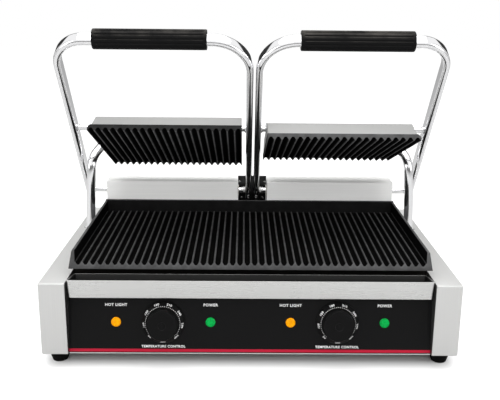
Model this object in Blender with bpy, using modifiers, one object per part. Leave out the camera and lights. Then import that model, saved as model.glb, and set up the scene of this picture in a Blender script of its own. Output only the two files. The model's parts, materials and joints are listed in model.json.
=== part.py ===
"""A double contact grill for a counter: two sprung, ribbed lids over one ribbed cast plate.

Metres, +Z up. The object stands on its four feet at z = 0, its controls face -Y, and the
origin is under the middle of its box. Heights and depths below are measured from the floor
and from the front faces of the two side cheeks.
"""

import math

import bmesh
import bpy
from mathutils import Matrix, Vector

# Fits and sheet
SEAT_GAP = 0.0003  # left between two pieces that touch
SLIDE_GAP = 0.0018  # left between the tray and the cheeks beside it
SHEET = 0.0012  # stainless sheet of the housings
FOLD_RADIUS = 0.0022  # outside radius of a folded edge
OVERRUN = 0.004  # how far a cutter runs past what it cuts

# Body: two cheeks with the chassis between them
BODY_WIDTH = 0.570
BODY_LENGTH = 0.344
CHEEK_WIDTH = 0.036
CHEEK_TOP = 0.124
CHEEK_PROUD = 0.0025  # in front of the tray and the panel
DECK_TOP = 0.136
WELL_BACK = 0.050  # wall behind the grease tray

# Feet
FOOT_HEIGHT = 0.020
FOOT_TOP_RADIUS = 0.0135
FOOT_SOLE_RADIUS = 0.0105
FOOT_INSET = 0.025  # from the ends of the cheeks

# Control panel, leaning back
PANEL_FOOT = 0.0187
PANEL_FOOT_BACK = 0.0042
PANEL_TOP_BACK = 0.0170
PANEL_TOP = 0.1000
OVERLAY_SHEET = 0.0006
STRIPE_HEIGHT = 0.0052
PANEL_EDGE = 0.0015  # bare metal under the stripe
CONTROL_HEIGHT = 0.0632  # lamps and dials above the floor
LAMP_LENS_RADIUS = 0.0066
LAMP_BODY_RADIUS = 0.0054
LAMP_LENS_HEIGHT = 0.0030
LAMP_BODY_LENGTH = 0.022
LAMP_REACH = 0.0646  # from a lamp to its dial, both ways
CONTROL_SHIFT = 0.0097  # how much nearer a dial is to the middle than to the cheek
DIAL_SKIRT_RADIUS = 0.0292
DIAL_SKIRT_HEIGHT = 0.0085
DIAL_SKIRT_TOP_RADIUS = 0.0234
DIAL_RIM_HEIGHT = 0.0022
DIAL_CAP_RADIUS = 0.0208
DIAL_NOSE = 0.0017  # pointer's reach past the cap
DIAL_NOSE_SPREAD = 0.30  # half width of the pointer in radians
DIAL_HEIGHT = 0.0200
DIAL_EDGE = 0.0014
DIAL_STEPS = 32
SPINDLE_RADIUS = 0.0030
SPINDLE_LENGTH = 0.0150
THERMOSTAT_WIDTH = 0.034
THERMOSTAT_DEPTH = 0.026
THERMOSTAT_HEIGHT = 0.044

# Grease tray
TRAY_FRONT_BACK = 0.0020
TRAY_DEPTH = 0.0450
TRAY_FLOOR = 0.1016
TRAY_FRONT_TOP = 0.1270
TRAY_REAR_TOP = 0.1185
TRAY_SIDE_DRAFT = 0.0020

# Lower cast plate
PLATE_SIDE_GAP = 0.0014  # between the plate's foot and a cheek
PLATE_WALL_DRAFT = 0.0044
PLATE_FRONT_BACK = 0.0177
PLATE_LENGTH = 0.2445
PLATE_FRONT_DRAFT = 0.0029
PLATE_BASE = 0.0068  # metal under the grooves
WALL_THICKNESS = 0.0040
WALL_TOP = 0.1625
REAR_WALL_TOP = 0.1636
REAR_WALL_THICKNESS = 0.0052
RIB_HEIGHT = 0.0042
RIB_TIP = 0.0013
GROOVE_FLOOR = 0.0024
LOWER_GROOVES = 48
CHANNEL_LENGTH = 0.0065  # level strip between the ribs and the rear wall

# Lids: an oval tube bent to a frame, which turns on a sprung shaft behind the plate
HINGE_BACK = 0.280
HINGE_HEIGHT = 0.176
HINGE_OFFSET = 0.0040  # the pair of lids sits this far right of the middle
LID_OPEN = math.radians(56.0)  # frame above level as it stands
TUBE_THICKNESS = 0.0100
TUBE_DEPTH = 0.0220
LEG_PAIR_GAP = 0.0034  # between the two inner legs
OUTER_LEG_INSET = 0.0100  # middle of an outer leg at its bend, in from the cheek's outer face
LEG_SPLAY = 0.0018  # how much further in an outer leg stands at the hinge
FRAME_LENGTH = 0.3180  # hinge to the middle of the grip
LEG_END = 0.0120  # tube past the hinge
INNER_BEND = 0.0540
OUTER_BEND = 0.0420
GRIP_INNER_MARGIN = 0.0017  # straight tube left bare at the narrower lid's inner bend
GRIP_OUTER_MARGIN = 0.0096
GRIP_RADIUS = 0.0142
FLUTE_DEPTH = 0.0009
GRIP_FLUTES = 14
SHAFT_RADIUS = 0.0045

# Upper plates, hung on a rod across each frame
PIVOT_RADIUS = 0.1468  # hinge to the rod
ROD_RADIUS = 0.0040
ROD_COLLAR_RADIUS = 0.0058
ROD_COLLAR = 0.0018
ROD_OVER_RIBS = 0.0342
TILTS = {"left": math.radians(25.8), "right": math.radians(20.5)}
PLATE_TO_LEG = 0.0380  # outer edge of the right upper plate to its outer leg
UPPER_LENGTH = 0.2220
UPPER_SPACING = 0.0178  # inner edge from the middle of the pair
UPPER_GROOVES = 21
CAST_HEIGHT = 0.0094
CAST_EDGE = 0.0036
CAST_CHAMFER = 0.0040
HOOD_INNER_INSET = 0.0006
HOOD_OUTER_INSET = 0.0044
HOOD_INSET = 0.0044
HOOD_RISE = 0.0189
HOOD_SLOPE = 0.0265
HOOD_LIP = 0.0028  # upright below the slopes
HOOD_SHEET = 0.0010
HANGER_SHEET = 0.0010
HANGER_EAR = 0.0024
HANGER_DEPTH = 0.0240
HANGER_INSET = 0.0006
HANGER_EAR_TOP = 0.0078  # above the rod's axis
PRESS_GAP = 0.0005  # between the ribs of a shut lid

# Spring boxes and the bracket between them
BOX_FRONT = 0.2640
BOX_DEPTH = 0.0415
BOX_TOP = 0.1950
BOX_TO_LEG = 0.0317  # outer end of a box to the middle of the outer leg
BRACKET_WIDTH = 0.0494
BRACKET_SHEET = 0.0030
BUSH_RADIUS = 0.0067
BUSH_FLANGE_RADIUS = 0.0090
BUSH_FLANGE = 0.0015
BUSH_LENGTH = 0.0070
SPRING_WIRE = 0.0034
SPRING_RADIUS = 0.0067
SPRING_PITCH = 0.0044
SPRING_TURNS = 10

# Heating
ELEMENT_RADIUS = 0.0035
ELEMENT_RUNS = 4
LOWER_ELEMENT_SPAN = 0.150
LOWER_ELEMENT_STEP = 0.040
UPPER_ELEMENT_SPAN = 0.140
UPPER_ELEMENT_STEP = 0.034
HEATER_SHIFT = 0.0090  # how much nearer a heater is to the middle than to the cheek
WINDOW_MARGIN = 0.0250
CLAMP_SHEET = 0.0020
CLAMP_MARGIN = 0.0080

# Wiring
TERMINAL_INSET = 0.0887  # middle of the block in from the chassis's side
TERMINAL_WIDTH = 0.056
TERMINAL_DEPTH = 0.022
TERMINAL_HEIGHT = 0.018
TERMINAL_SETBACK = 0.040  # from the rear wall
GLAND_HEIGHT = 0.056
GLAND_BODY_RADIUS = 0.0080
GLAND_NUT_RADIUS = 0.0120
GLAND_NUT = 0.0060
GLAND_DOME = 0.0070
GLAND_INSIDE = 0.0120
GLAND_BORE_RADIUS = 0.0046
VENT_SLOTS = 9
VENT_WIDTH = 0.0050
VENT_LENGTH = 0.0600
VENT_PITCH = 0.0160
CONDUIT_RADIUS = 0.0072
CONDUIT_WALL = 0.0010
FLANGE_RADIUS = 0.0112
FLANGE_HEIGHT = 0.0040
LEAD_RADIUS = 0.0030

# The conduit of the upper heater's wires, from the cheek up and round behind the lid. Each
# place is its distance in from the cheek's outer face, its depth and its height.
CONDUIT_ROUTE = (
    (0.0240, 0.2220, 0.1480),
    (0.0257, 0.2220, 0.1780),
    (0.0266, 0.2220, 0.1950),
    (0.0280, 0.2220, 0.2120),
    (0.0290, 0.2227, 0.2300),
    (0.0298, 0.2260, 0.2388),
    (0.0315, 0.2330, 0.2455),
    (0.0351, 0.2420, 0.2515),
    (0.0400, 0.2520, 0.2560),
    (0.0426, 0.2605, 0.2620),
    (0.0442, 0.2670, 0.2690),
    (0.0472, 0.2715, 0.2758),
    (0.0525, 0.2745, 0.2808),
    (0.0610, 0.2770, 0.2838),
    (0.0710, 0.2785, 0.2850),
    (0.0810, 0.2790, 0.2852),
)
# The flexible lead from the conduit's mouth to the rod, in the same measures
LEAD_ROUTE = (
    (0.0915, 0.2795, 0.2855),
    (0.1040, 0.2770, 0.2870),
    (0.1120, 0.2690, 0.2895),
    (0.1155, 0.2540, 0.2925),
    (0.1160, 0.2360, 0.2950),
    (0.1160, 0.2220, 0.2967),
)

SIDES = {"left": -1, "right": 1}

# Worked out from the sizes above
HALF_INNER = BODY_WIDTH / 2 - CHEEK_WIDTH  # a cheek's inner face
CHASSIS_HALF = HALF_INNER - SEAT_GAP
DIAL_PLACE = (CHASSIS_HALF - CONTROL_SHIFT) / 2
LAMP_PLACES = {"inner": DIAL_PLACE - LAMP_REACH, "outer": DIAL_PLACE + LAMP_REACH}
TERMINAL_PLACE = TERMINAL_INSET - CHASSIS_HALF
HEATER_PLACE = (HALF_INNER - HEATER_SHIFT) / 2
WINDOW_WIDTH = LOWER_ELEMENT_SPAN + 2 * WINDOW_MARGIN
WINDOW_LENGTH = LOWER_ELEMENT_STEP * (ELEMENT_RUNS - 1) + 2 * WINDOW_MARGIN
PLATE_BOTTOM_WIDTH = 2 * (HALF_INNER - PLATE_SIDE_GAP)
LEG_OFFSET = (LEG_PAIR_GAP + TUBE_THICKNESS) / 2
OUTER_LEG = BODY_WIDTH / 2 - OUTER_LEG_INSET
OUTER_LEG_FOOT = OUTER_LEG - LEG_SPLAY
GRIP_START = HINGE_OFFSET + LEG_OFFSET + INNER_BEND + GRIP_INNER_MARGIN
GRIP_LENGTH = OUTER_LEG - OUTER_BEND - GRIP_OUTER_MARGIN - GRIP_START
GRIP_PLACE = GRIP_START + GRIP_LENGTH / 2 - HINGE_OFFSET / 2
BOX_OUTER = OUTER_LEG_FOOT - BOX_TO_LEG
UPPER_WIDTH = OUTER_LEG - PLATE_TO_LEG - UPPER_SPACING - HINGE_OFFSET
HOOD_WIDTH = UPPER_WIDTH - HOOD_INNER_INSET - HOOD_OUTER_INSET
SHELF_TOP = TRAY_FLOOR - SEAT_GAP
PANEL_TILT = math.atan2(PANEL_TOP_BACK - PANEL_FOOT_BACK, PANEL_TOP - PANEL_FOOT)
PANEL_LENGTH = (PANEL_TOP - PANEL_FOOT) / math.cos(PANEL_TILT)
CONTROL_PLACE = (CONTROL_HEIGHT - PANEL_FOOT) / math.cos(PANEL_TILT)
FACE_OUT = SEAT_GAP + OVERLAY_SHEET  # the overlay's face in front of the panel's
PLATE_UNDERSIDE = DECK_TOP + SEAT_GAP
RIB_TOP = PLATE_UNDERSIDE + PLATE_BASE + RIB_HEIGHT
SHUT_ANGLE = math.asin((RIB_TOP + PRESS_GAP + ROD_OVER_RIBS - HINGE_HEIGHT) / PIVOT_RADIUS)
CLOSING = LID_OPEN - SHUT_ANGLE
FRONT_MOST = (
    PANEL_FOOT_BACK
    + (CONTROL_PLACE - DIAL_CAP_RADIUS + DIAL_EDGE) * math.sin(PANEL_TILT)
    - (FACE_OUT + DIAL_HEIGHT) * math.cos(PANEL_TILT)
)
REAR_MOST = BODY_LENGTH + GLAND_NUT + GLAND_DOME + SEAT_GAP
ORIGIN_BACK = (FRONT_MOST + REAR_MOST) / 2

# Turns that carry an outline drawn in its own x and y to the plane it stands in
FACING_SIDE = Matrix(((0, 0, 1), (1, 0, 0), (0, 1, 0))).to_4x4()  # x to back, y up, depth to right
FACING_FRONT = Matrix.Rotation(math.radians(90), 4, "X")  # x to right, y up, depth to front
ALONG_X = Matrix.Rotation(math.radians(90), 4, "Y")
ALONG_Y = Matrix.Rotation(math.radians(-90), 4, "X")
OUT_OF_PANEL = Matrix.Rotation(math.radians(90), 4, "X")
LEVEL = Matrix.Identity(4)


def start_scene():
    """Clears the scene and returns a collection for the grill and one for its cutters."""
    for old in list(bpy.data.objects):
        bpy.data.objects.remove(old)
    made = []
    for name in ("contact_grill", "cutters"):
        collection = bpy.data.collections.new(name)
        bpy.context.scene.collection.children.link(collection)
        made.append(collection)
    return made


GRILL, CUTTERS = start_scene()


def material(name, colour, roughness, metallic=0.0):
    """A Principled material with one colour."""
    made = bpy.data.materials.new(name)
    made.use_nodes = True
    made.diffuse_color = (*colour, 1.0)
    shader = made.node_tree.nodes["Principled BSDF"]
    shader.inputs["Base Color"].default_value = (*colour, 1.0)
    shader.inputs["Roughness"].default_value = roughness
    shader.inputs["Metallic"].default_value = metallic
    return made


STAINLESS = material("brushed_stainless", (0.62, 0.61, 0.59), 0.34, 1.0)
CHROME = material("chrome", (0.78, 0.78, 0.78), 0.08, 1.0)
CAST_IRON = material("seasoned_cast_iron", (0.018, 0.018, 0.018), 0.55)
BLACK_STEEL = material("black_painted_steel", (0.020, 0.020, 0.020), 0.45)
OVERLAY = material("black_panel_overlay", (0.012, 0.012, 0.013), 0.35)
RED = material("red_stripe", (0.62, 0.03, 0.06), 0.40)
BLACK_PLASTIC = material("black_plastic", (0.022, 0.022, 0.023), 0.40)
RUBBER = material("black_rubber", (0.014, 0.014, 0.014), 0.80)
AMBER = material("amber_lens", (0.95, 0.42, 0.01), 0.20)
GREEN = material("green_lens", (0.02, 0.50, 0.16), 0.20)
HEATER_STEEL = material("heater_sheath", (0.20, 0.17, 0.15), 0.50, 1.0)
ZINC = material("zinc_steel", (0.52, 0.53, 0.54), 0.42, 1.0)
NYLON = material("nylon", (0.80, 0.78, 0.72), 0.55)
CERAMIC = material("ceramic", (0.82, 0.80, 0.75), 0.60)
SILICONE = material("silicone_sleeve", (0.10, 0.10, 0.10), 0.70)


def frame(name, parent=None, place=(0, 0, 0), turn_about_x=0.0):
    """An empty that other pieces are parented to."""
    empty = bpy.data.objects.new(name, None)
    GRILL.objects.link(empty)
    empty.parent = parent
    empty.location = place
    empty.rotation_euler = (turn_about_x, 0, 0)
    return empty


BODY = frame("body_frame", place=(0, -ORIGIN_BACK, 0))
PANEL = frame("panel_frame", BODY, (0, PANEL_FOOT_BACK, PANEL_FOOT), -PANEL_TILT)


def put(piece, stuff, parent=BODY, place=(0, 0, 0), turn=LEVEL, smooth=False):
    """Links a piece to the grill with its material, its parent and its place."""
    GRILL.objects.link(piece)
    piece.data.materials.append(stuff)
    piece.parent = parent
    piece.matrix_local = Matrix.Translation(place) @ turn
    if smooth and piece.type == "MESH":
        piece.data.shade_smooth()
        piece.data.set_sharp_from_angle(angle=math.radians(35))
    return piece


def mesh_piece(name, builder):
    """A new object whose mesh the builder fills."""
    shape = bmesh.new()
    builder(shape)
    mesh = bpy.data.meshes.new(name)
    shape.to_mesh(mesh)
    shape.free()
    return bpy.data.objects.new(name, mesh)


def box_cage(low, high):
    """A builder of a box between two corners."""
    size = Vector(high) - Vector(low)
    middle = (Vector(high) + Vector(low)) / 2

    def build(shape):
        bmesh.ops.create_cube(shape, size=1.0)
        bmesh.ops.scale(shape, vec=size, verts=shape.verts)
        bmesh.ops.translate(shape, vec=middle, verts=shape.verts)

    return build


def cylinder_cage(radius, length, sides=24):
    """A builder of a cylinder on its own z axis, about its middle."""

    def build(shape):
        bmesh.ops.create_cone(
            shape, cap_ends=True, segments=sides, radius1=radius, radius2=radius, depth=length
        )

    return build


def block(name, low, high, stuff, parent=BODY, edge=0.0):
    """A solid box with its edges broken."""
    piece = put(mesh_piece(name, box_cage(low, high)), stuff, parent)
    if edge:
        bevel = piece.modifiers.new("edge", "BEVEL")
        bevel.width = edge
        bevel.segments = 1
    return piece


def solidify(piece, thickness):
    """Gives an open skin its wall, inwards."""
    wall = piece.modifiers.new("wall", "SOLIDIFY")
    wall.thickness = thickness
    wall.offset = -1.0
    wall.use_even_offset = True


def cut(piece, cutter, parent=BODY, place=(0, 0, 0), turn=LEVEL):
    """Cuts a hidden mesh out of a piece."""
    CUTTERS.objects.link(cutter)
    cutter.parent = parent
    cutter.matrix_local = Matrix.Translation(place) @ turn
    cutter.hide_render = True
    cutter.display_type = "WIRE"
    boolean = piece.modifiers.new("cut_" + cutter.name, "BOOLEAN")
    boolean.object = cutter
    boolean.operation = "DIFFERENCE"
    boolean.solver = "EXACT"


def outline_curve(name, outlines, depth):
    """A flat outline, with any holes, extruded on its own z axis about its middle."""
    curve = bpy.data.curves.new(name, "CURVE")
    curve.dimensions = "2D"
    curve.fill_mode = "BOTH"
    curve.extrude = depth / 2
    for points in outlines:
        spline = curve.splines.new("POLY")
        spline.points.add(len(points) - 1)
        for slot, (x, y) in zip(spline.points, points):
            slot.co = (x, y, 0, 1)
        spline.use_cyclic_u = True
    return bpy.data.objects.new(name, curve)


def as_mesh(piece):
    """The mesh of a curve with its caps welded, under the same name, not yet linked."""
    CUTTERS.objects.link(piece)
    bpy.context.view_layer.update()
    evaluated = piece.evaluated_get(bpy.context.evaluated_depsgraph_get())
    mesh = bpy.data.meshes.new_from_object(evaluated)
    name = piece.name
    bpy.data.objects.remove(piece)
    shape = bmesh.new()
    shape.from_mesh(mesh)
    bmesh.ops.remove_doubles(shape, verts=shape.verts, dist=SEAT_GAP / 10)
    bmesh.ops.recalc_face_normals(shape, faces=shape.faces)
    shape.to_mesh(mesh)
    shape.free()
    return bpy.data.objects.new(name, mesh)


def drop_faces(piece, unwanted):
    """Opens a skin by taking out the faces that a test names."""
    shape = bmesh.new()
    shape.from_mesh(piece.data)
    shape.normal_update()
    gone = [face for face in shape.faces if unwanted(face)]
    bmesh.ops.delete(shape, geom=gone, context="FACES")
    shape.to_mesh(piece.data)
    shape.free()


def turned(name, profile, steps=24):
    """A profile of (radius, height) points, listed down its outer side, turned about z."""
    mesh = bpy.data.meshes.new(name)
    closed = profile[0][0] > 0
    count = len(profile)
    edges = [(i, (i + 1) % count) for i in range(count if closed else count - 1)]
    mesh.from_pydata([(radius, 0, height) for radius, height in profile], edges, [])
    piece = bpy.data.objects.new(name, mesh)
    screw = piece.modifiers.new("turn", "SCREW")
    screw.axis = "Z"
    screw.steps = steps
    screw.render_steps = steps
    screw.use_merge_vertices = True
    screw.merge_threshold = SEAT_GAP / 30
    screw.use_smooth_shade = True
    return piece


def tube(name, points, radius, resolution=2, caps=True):
    """A round tube along points."""
    curve = bpy.data.curves.new(name, "CURVE")
    curve.dimensions = "3D"
    curve.twist_mode = "MINIMUM"
    curve.bevel_depth = radius
    curve.bevel_resolution = resolution
    curve.use_fill_caps = caps
    spline = curve.splines.new("POLY")
    spline.points.add(len(points) - 1)
    for slot, point in zip(spline.points, points):
        slot.co = (*point, 1)
    return bpy.data.objects.new(name, curve)


def smooth_route(points, steps):
    """Points on a Catmull-Rom curve through a route's own points."""
    ends = [points[0] * 2 - points[1], *points, points[-1] * 2 - points[-2]]
    route = []
    for a, b, c, d in zip(ends, ends[1:], ends[2:], ends[3:]):
        for i in range(steps):
            t = i / steps
            route.append(
                (
                    b * 2
                    + (c - a) * t
                    + (a * 2 - b * 5 + c * 4 - d) * t**2
                    + (b * 3 - a - c * 3 + d) * t**3
                )
                / 2
            )
    return [*route, points[-1]]


def rounded_path(corners, radii, steps):
    """A flat path through corners, each rounded by an arc of its own radius."""
    path = [corners[0]]
    for before, corner, after, radius in zip(corners, corners[1:], corners[2:], radii):
        towards = (before - corner).normalized()
        away = (after - corner).normalized()
        half = towards.angle(away) / 2
        reach = radius / math.tan(half)
        centre = corner + (towards + away).normalized() * (radius / math.sin(half))
        first = corner + towards * reach - centre
        last = corner + away * reach - centre
        sweep = first.angle(last)
        for i in range(steps + 1):
            t = i / steps
            path.append(
                centre
                + (first * math.sin((1 - t) * sweep) + last * math.sin(t * sweep))
                / math.sin(sweep)
            )
    return [*path, corners[-1]]


def ribs(low, high, grooves, tip_height, floor_height):
    """The outline of grooves side by side from one x to another."""
    pitch = (high - low) / grooves
    half_mouth = (pitch - RIB_TIP) / 2
    points = []
    for i in range(grooves):
        middle = low + (i + 0.5) * pitch
        points += [
            (middle - half_mouth, tip_height),
            (middle - GROOVE_FLOOR / 2, floor_height),
            (middle + GROOVE_FLOOR / 2, floor_height),
            (middle + half_mouth, tip_height),
        ]
    return points


def cheek(name, side):
    """A folded stainless box, open to the chassis beside it."""
    inner = side * HALF_INNER
    outer = side * BODY_WIDTH / 2
    low = (min(inner, outer), -CHEEK_PROUD, FOOT_HEIGHT)
    high = (max(inner, outer), BODY_LENGTH, CHEEK_TOP)

    def build(shape):
        box_cage(low, high)(shape)
        folds = [
            edge
            for edge in shape.edges
            if any(abs(vert.co.x - outer) < SEAT_GAP for vert in edge.verts)
        ]
        bmesh.ops.bevel(
            shape, geom=folds, offset=FOLD_RADIUS, segments=2, profile=0.5, affect="EDGES"
        )

    piece = mesh_piece(name, build)
    drop_faces(piece, lambda face: face.normal.x * side < -0.9)
    put(piece, STAINLESS)
    solidify(piece, SHEET)


def foot(name, side, back):
    """A rubber foot under the end of a cheek."""
    profile = [
        (0, FOOT_HEIGHT - SEAT_GAP),
        (FOOT_TOP_RADIUS, FOOT_HEIGHT - SEAT_GAP),
        (FOOT_TOP_RADIUS, FOOT_HEIGHT / 2),
        (FOOT_SOLE_RADIUS, 0),
        (0, 0),
    ]
    middle = side * (BODY_WIDTH / 2 - CHEEK_WIDTH / 2)
    put(turned(name, profile, 20), RUBBER, place=(middle, back, 0))


def panel_back(height):
    """Depth of the panel's front face at a height."""
    return PANEL_FOOT_BACK + (height - PANEL_FOOT) * math.tan(PANEL_TILT)


def folded_tub(name, outline, unwanted):
    """A sheet tub between the cheeks, from an outline of depths and heights."""
    piece = as_mesh(outline_curve(name, [outline], 2 * CHASSIS_HALF))
    drop_faces(piece, unwanted)
    put(piece, STAINLESS, turn=FACING_SIDE)
    solidify(piece, SHEET)
    return piece


def tray_shelf():
    """The folded shelf behind the panel, which the grease tray stands on."""
    behind = SHEET / math.cos(PANEL_TILT) + SEAT_GAP
    foot = FOOT_HEIGHT + SHEET + SEAT_GAP
    rear = WELL_BACK - SEAT_GAP
    outline = [
        (panel_back(foot) + behind, foot),
        (rear, foot),
        (rear, SHELF_TOP),
        (panel_back(SHELF_TOP) + behind, SHELF_TOP),
    ]
    # In the outline's own axes x runs back and y runs up: only the top and the ends stay.
    folded_tub("tray_shelf", outline, lambda face: face.normal.y < -0.9 or abs(face.normal.x) > 0.7)


def chassis():
    """The folded tub under the plate: deck, heat shield behind the controls, sides, rear wall."""
    foot = FOOT_HEIGHT + SHEET + SEAT_GAP
    outline = [
        (WELL_BACK, foot),
        (BODY_LENGTH, foot),
        (BODY_LENGTH, DECK_TOP),
        (WELL_BACK, DECK_TOP),
    ]
    piece = folded_tub("chassis", outline, lambda face: face.normal.y < -0.9)
    for name, side in SIDES.items():
        middle = Vector((side * HEATER_PLACE, window_middle(), DECK_TOP))
        half = Vector((WINDOW_WIDTH / 2, WINDOW_LENGTH / 2, OVERRUN))
        cutter = mesh_piece(name + "_window", box_cage(middle - half, middle + half))
        cut(piece, cutter)
    hole = mesh_piece("gland_hole", cylinder_cage(GLAND_BODY_RADIUS + SEAT_GAP, 2 * OVERRUN))
    cut(piece, hole, place=(TERMINAL_PLACE, BODY_LENGTH, GLAND_HEIGHT), turn=ALONG_Y)


def window_middle():
    """Depth of the middle of the heaters under the lower plate."""
    return PLATE_FRONT_BACK + PLATE_LENGTH / 2 + (WELL_BACK - PLATE_FRONT_BACK) / 2


def bottom_cover():
    """The sheet that closes the chassis from below, with its vents."""
    front = panel_back(FOOT_HEIGHT + SHEET) + SHEET / math.cos(PANEL_TILT) + SEAT_GAP
    low = (-CHASSIS_HALF, front, FOOT_HEIGHT)
    high = (CHASSIS_HALF, BODY_LENGTH, FOOT_HEIGHT + SHEET)
    piece = put(mesh_piece("bottom_cover", box_cage(low, high)), STAINLESS)

    def slots(shape):
        for i in range(VENT_SLOTS):
            middle = Vector(
                ((i - (VENT_SLOTS - 1) / 2) * VENT_PITCH, BODY_LENGTH / 2, FOOT_HEIGHT)
            )
            half = Vector((VENT_WIDTH / 2, VENT_LENGTH / 2, OVERRUN))
            slot = bmesh.new()
            box_cage(middle - half, middle + half)(slot)
            mesh = bpy.data.meshes.new("vent")
            slot.to_mesh(mesh)
            slot.free()
            shape.from_mesh(mesh)
            bpy.data.meshes.remove(mesh)

    cut(piece, mesh_piece("vents", slots))


def panel_sheet(name, bottom, top, thickness, front, stuff):
    """A flat strip of the panel, with its face a given way in front of the steel's."""
    low = (-CHASSIS_HALF, -front, bottom)
    high = (CHASSIS_HALF, thickness - front, top)
    return put(mesh_piece(name, box_cage(low, high)), stuff, PANEL)


def control_holes(piece, lamp_radius, dial_radius):
    """Holes for the lamps and for the dials' spindles."""
    for name, side in SIDES.items():
        places = {**LAMP_PLACES, "dial": DIAL_PLACE}
        for which, place in places.items():
            radius = dial_radius if which == "dial" else lamp_radius
            hole = mesh_piece(
                f"{piece.name}_{name}_{which}_hole", cylinder_cage(radius, 2 * OVERRUN, 20)
            )
            cut(piece, hole, PANEL, (side * place, 0, CONTROL_PLACE), OUT_OF_PANEL)


def control_panel():
    """The leaning steel panel, its black overlay and the red stripe."""
    steel = panel_sheet("front_panel", 0, PANEL_LENGTH, SHEET, 0, BLACK_STEEL)
    stripe_top = PANEL_EDGE + STRIPE_HEIGHT
    overlay = panel_sheet(
        "panel_overlay", stripe_top + SEAT_GAP, PANEL_LENGTH, OVERLAY_SHEET, FACE_OUT, OVERLAY
    )
    panel_sheet("panel_stripe", PANEL_EDGE, stripe_top, OVERLAY_SHEET, FACE_OUT, RED)
    for piece in (steel, overlay):
        control_holes(piece, LAMP_BODY_RADIUS + SEAT_GAP, SPINDLE_RADIUS + 2 * SEAT_GAP)


def lamp(name, place, stuff):
    """A pilot lamp: a low lens on a body that goes through the panel."""
    seat = FACE_OUT + SEAT_GAP
    profile = [
        (0, seat + LAMP_LENS_HEIGHT),
        (LAMP_LENS_RADIUS * 0.6, seat + LAMP_LENS_HEIGHT * 0.85),
        (LAMP_LENS_RADIUS * 0.9, seat + LAMP_LENS_HEIGHT * 0.5),
        (LAMP_LENS_RADIUS, seat),
        (LAMP_BODY_RADIUS, seat),
        (LAMP_BODY_RADIUS, -LAMP_BODY_LENGTH),
        (0, -LAMP_BODY_LENGTH),
    ]
    put(turned(name, profile, 18), stuff, PANEL, (place, 0, CONTROL_PLACE), OUT_OF_PANEL)


def dial_cap(name):
    """The dial's grip, round but for a blunt pointer at its top, with its edges broken."""
    points = []
    for i in range(DIAL_STEPS):
        angle = 2 * math.pi * i / DIAL_STEPS
        away = (angle - math.pi / 2) / DIAL_NOSE_SPREAD
        reach = DIAL_CAP_RADIUS + DIAL_NOSE * math.exp(-(away**4)) - DIAL_EDGE
        points.append((reach * math.cos(angle), reach * math.sin(angle)))
    sunk = DIAL_SKIRT_HEIGHT - DIAL_EDGE
    piece = outline_curve(name, [points], DIAL_HEIGHT - sunk - 2 * DIAL_EDGE)
    piece.data.bevel_depth = DIAL_EDGE
    piece.data.bevel_resolution = 1
    return as_mesh(piece), FACE_OUT + (DIAL_HEIGHT + sunk) / 2


def dial(name, place):
    """A thermostat dial: skirt, grip cap and spindle in one moulding."""
    seat = FACE_OUT + SEAT_GAP
    profile = [
        (0, seat + DIAL_SKIRT_HEIGHT),
        (DIAL_SKIRT_TOP_RADIUS, seat + DIAL_SKIRT_HEIGHT),
        (DIAL_SKIRT_RADIUS, seat + DIAL_RIM_HEIGHT),
        (DIAL_SKIRT_RADIUS, seat),
        (SPINDLE_RADIUS, seat),
        (SPINDLE_RADIUS, -SPINDLE_LENGTH),
        (0, -SPINDLE_LENGTH),
    ]
    middle = (place, 0, CONTROL_PLACE)
    piece = put(turned(name, profile, DIAL_STEPS), BLACK_PLASTIC, PANEL, middle, OUT_OF_PANEL)
    cap, height = dial_cap(name + "_cap")
    cut(piece, cap, PANEL, middle, OUT_OF_PANEL @ Matrix.Translation((0, 0, height)))
    piece.modifiers[-1].operation = "UNION"


def thermostat(name, place):
    """The switch behind a dial, bored for the spindle."""
    half = Vector((THERMOSTAT_WIDTH / 2, THERMOSTAT_DEPTH / 2, THERMOSTAT_HEIGHT / 2))
    middle = Vector((place, SHEET + SEAT_GAP + THERMOSTAT_DEPTH / 2, CONTROL_PLACE))
    piece = block(name, middle - half, middle + half, ZINC, PANEL)
    bore = mesh_piece(
        name + "_bore", cylinder_cage(SPINDLE_RADIUS + SEAT_GAP, 2 * SPINDLE_LENGTH + OVERRUN, 16)
    )
    cut(piece, bore, PANEL, (place, 0, CONTROL_PLACE), OUT_OF_PANEL)


def grease_tray():
    """The open trough under the plate's front edge, narrower at its floor."""
    half = HALF_INNER - SLIDE_GAP
    low = (-half, TRAY_FRONT_BACK, TRAY_FLOOR)
    high = (half, TRAY_FRONT_BACK + TRAY_DEPTH, TRAY_FRONT_TOP)

    def build(shape):
        box_cage(low, high)(shape)
        for vert in shape.verts:
            if vert.co.z < TRAY_FLOOR + SEAT_GAP:
                vert.co.x -= math.copysign(TRAY_SIDE_DRAFT, vert.co.x)
            elif vert.co.y > TRAY_FRONT_BACK + SEAT_GAP:
                vert.co.z = TRAY_REAR_TOP

    piece = mesh_piece("grease_tray", build)
    drop_faces(piece, lambda face: face.normal.z > 0.7)
    put(piece, STAINLESS)
    solidify(piece, SHEET)


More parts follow.
